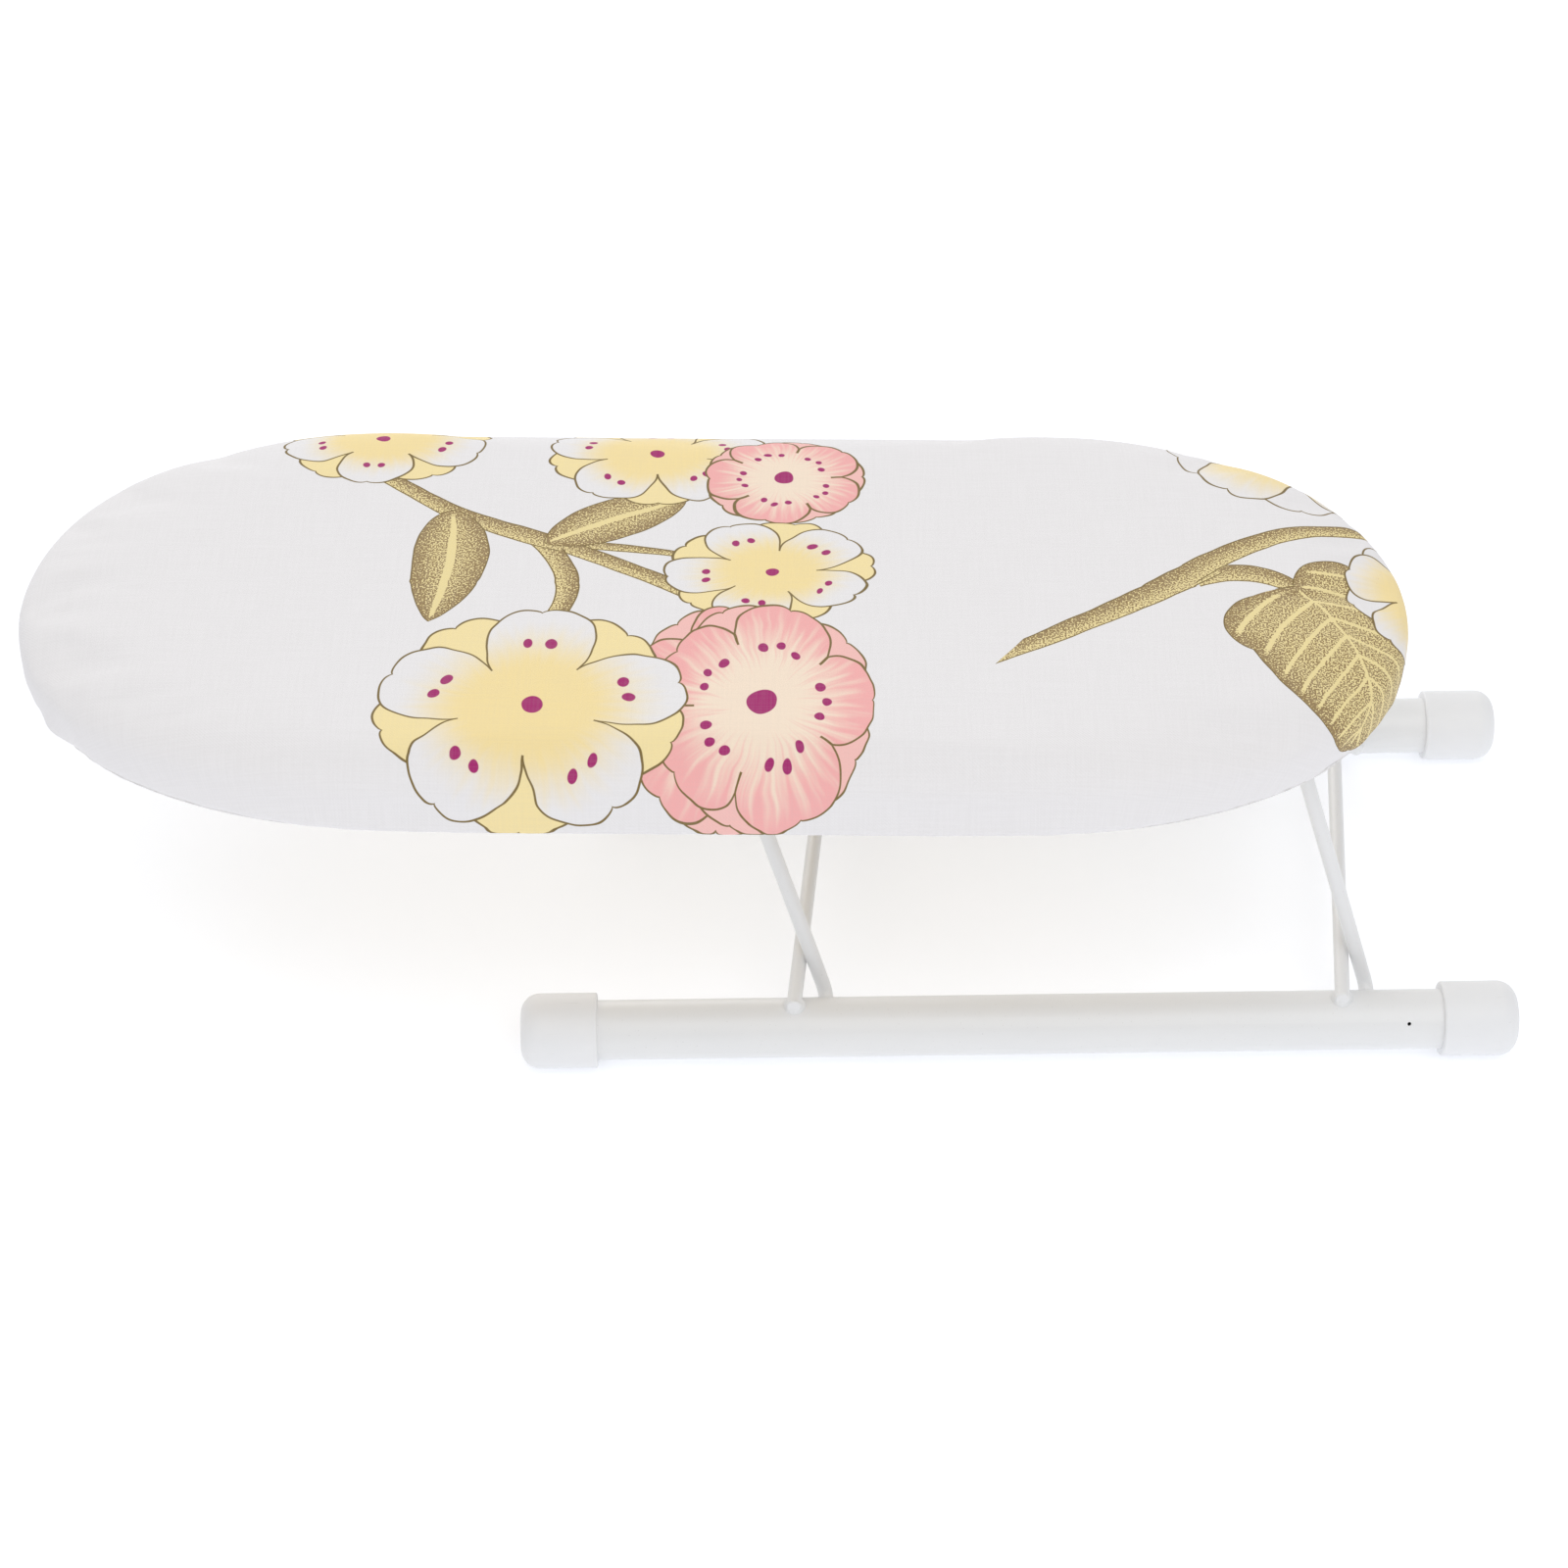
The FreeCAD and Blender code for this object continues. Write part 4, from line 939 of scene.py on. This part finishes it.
def remove_loose(mesh):
    """Deletes vertices that no face uses."""
    used = np.zeros(len(mesh.vertices), bool)
    for face in mesh.polygons:
        used[list(face.vertices)] = True
    work = bmesh.new()
    work.from_mesh(mesh)
    work.verts.ensure_lookup_table()
    loose = [work.verts[int(index)] for index in np.flatnonzero(~used)]
    bmesh.ops.delete(work, geom=loose, context="VERTS")
    bmesh.ops.recalc_face_normals(work, faces=work.faces)
    work.to_mesh(mesh)
    work.free()


def padded_cover():
    """The foam pad and its printed cover, as one padded piece with room for the panel in it."""
    mesh, flats, held = pad_mesh()
    keep_cloth_places(mesh, flats)
    piece = new_piece("padded_cover", mesh)
    swell(piece, held)
    gather(piece)
    remove_loose(piece.data)
    finish_piece(piece, printed_cotton(), "board", subdivisions=1)
    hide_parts("fabric_cover", "foam_pad")


# The hem ----------------------------------------------------------------------------------------

HEM_POINTS = 960
HEM_SECTION = 16            # points round its section
HEM_WIDTH = 7.5 * MM
HEM_GIRTH = 3.5 * MM        # cloth per radian round the section
HEM_SQUARENESS = 0.6        # less makes the section more of a rectangle, 1 an ellipse
SCRUNCHES = ((1.0, 171, 0, 2.3, 11), (0.5, 113, 0.7, 1.9, 17))      # for small_folds
SCRUNCH_DEPTH = 0.30 * MM
SCRUNCH_ABOVE = 0.2         # share of it on the upper face, where the hem lies against the cover


def gathered_hem():
    """The cover's turned hem as one closed ring, drawn up in small folds by the elastic in it."""
    points, outs, _ = outline(HEM_POINTS)
    runs = np.arange(HEM_POINTS) * 4 * quarter / HEM_POINTS
    scrunch = SCRUNCH_DEPTH * small_folds(HEM_POINTS, SCRUNCHES)
    middle = (hem_low.z + hem_high.z) / 2
    half_height = (hem_high.z - hem_low.z) / 2
    verts, flats = [], []
    for step in range(HEM_SECTION):
        angle = 2 * math.pi * step / HEM_SECTION
        wide = math.copysign(abs(math.cos(angle)) ** HEM_SQUARENESS, math.cos(angle))
        tall = math.copysign(abs(math.sin(angle)) ** HEM_SQUARENESS, math.sin(angle))
        inset = LIP_WIDTH - HEM_WIDTH / 2 + (HEM_WIDTH / 2 + scrunch) * wide
        height = middle + half_height * tall + scrunch * (1 if tall < 0 else SCRUNCH_ABOVE)
        verts.append(np.column_stack([points - outs * inset[:, None], height]))
        flats.append(np.column_stack([runs, np.full(HEM_POINTS, angle * HEM_GIRTH)]))
    faces = []
    for step in range(HEM_SECTION):
        following = (step + 1) % HEM_SECTION
        for place in range(HEM_POINTS):
            after = (place + 1) % HEM_POINTS
            faces.append((step * HEM_POINTS + place, step * HEM_POINTS + after,
                          following * HEM_POINTS + after, following * HEM_POINTS + place))
    mesh = bpy.data.meshes.new("gathered_hem")
    mesh.from_pydata([tuple(co) for co in np.concatenate(verts)], [], faces)
    keep_cloth_places(mesh, np.concatenate(flats))
    piece = new_piece("gathered_hem", mesh)
    finish_piece(piece, hem_tape(), "board")
    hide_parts("cover_hem", "hem_elastic")


# The CAD nodes that stay ------------------------------------------------------------------------

def dress_frame():
    """Gives each node that stays its material, by the ending of its name."""
    coat, plastic, zinc, fibre = powder_coat(), moulded_plastic(), zinc_plate(), fibre_board()
    finishes = (("_foot_tube", coat), ("_cross_wire", coat), ("_swing_leg", coat), ("weld_beads", coat),
                ("_end_cap", plastic), ("_clip", zinc), ("_clip_screws", zinc), ("board_panel", fibre))
    for name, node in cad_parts.items():
        for ending, material in finishes:
            if name.endswith(ending):
                node.data.materials.clear()
                node.data.materials.append(material)


# Floor, light and camera ------------------------------------------------------------------------

FLOOR_SIDE = 9.0
FLOOR_GLOW = 0.33                   # a light table, so that shadows stay faint
SKY_STRENGTH = 0.60
LIGHTS_AIM = Vector((0, 0, 0.1))
SOFTBOXES = (
    # name, place, length of a side and watts
    ("overhead_softbox", (-0.2, -0.1, 2.0), 2.2, 9.2),
    ("front_softbox", (0.5, -1.35, 1.9), 1.4, 9),
    ("rear_softbox", (-0.5, 1.9, 0.75), 1.3, 10.5),
)
VIEW_HEIGHT = math.radians(40.0)    # of the camera above the horizon
VIEW_TURN = math.radians(1.14)      # it looks this much to the right of straight back
VIEW_DISTANCE = 1.432
VIEW_LENS = 89.1
VIEW_START = 0.05                   # nothing nearer than this is shown
AIM = Vector((-0.0053, -0.0201, 0))  # from the middle of the object's box


def pale_floor():
    """A plain floor that glows a little."""
    half = FLOOR_SIDE / 2
    corners = [(-half, -half, 0), (half, -half, 0), (half, half, 0), (-half, half, 0)]
    mesh = bpy.data.meshes.new("floor")
    mesh.from_pydata(corners, [], [(0, 1, 2, 3)])
    floor = added("floor", mesh)
    material, paint, shader = new_material("pale_floor")
    cloud = paint.noise(paint.object_place(), 3, detail=2)
    paint.fill(shader, {
        "Base Color": paint.mix(cloud, srgb(234, 237, 243), srgb(238, 240, 245)),
        "Roughness": 0.9,
        "Specular IOR Level": 0.1,
        "Emission Color": WHITE,
        "Emission Strength": FLOOR_GLOW})
    mesh.materials.append(material)


def point(thing, place, forward):
    """Puts a lamp or a camera at place, looking along forward."""
    thing.location = place
    thing.rotation_mode = "QUATERNION"
    thing.rotation_quaternion = forward.to_track_quat("-Z", "Y")


def studio():
    """A white sky and three softboxes."""
    world = bpy.data.worlds.new("studio")
    world.use_nodes = True
    sky = world.node_tree.nodes["Background"]
    sky.inputs["Color"].default_value = WHITE
    sky.inputs["Strength"].default_value = SKY_STRENGTH
    bpy.context.scene.world = world
    for name, place, side, watts in SOFTBOXES:
        light = bpy.data.lights.new(name, "AREA")
        light.shape = "SQUARE"
        light.size = side
        light.energy = watts
        point(added(name, light), place, LIGHTS_AIM - Vector(place))
    bpy.context.scene.view_settings.view_transform = "Standard"


def studio_camera():
    """The camera, high in front of the board."""
    low, high = cad_box
    aim = (low + high) / 2 + AIM
    level = math.cos(VIEW_HEIGHT)
    forward = Vector((math.sin(VIEW_TURN) * level, math.cos(VIEW_TURN) * level, -math.sin(VIEW_HEIGHT)))
    data = bpy.data.cameras.new("camera")
    data.lens = VIEW_LENS
    data.clip_start = VIEW_START
    camera = added("camera", data)
    point(camera, aim - forward * VIEW_DISTANCE, forward)
    bpy.context.scene.camera = camera


dress_frame()
padded_cover()
gathered_hem()
pale_floor()
studio()
studio_camera()
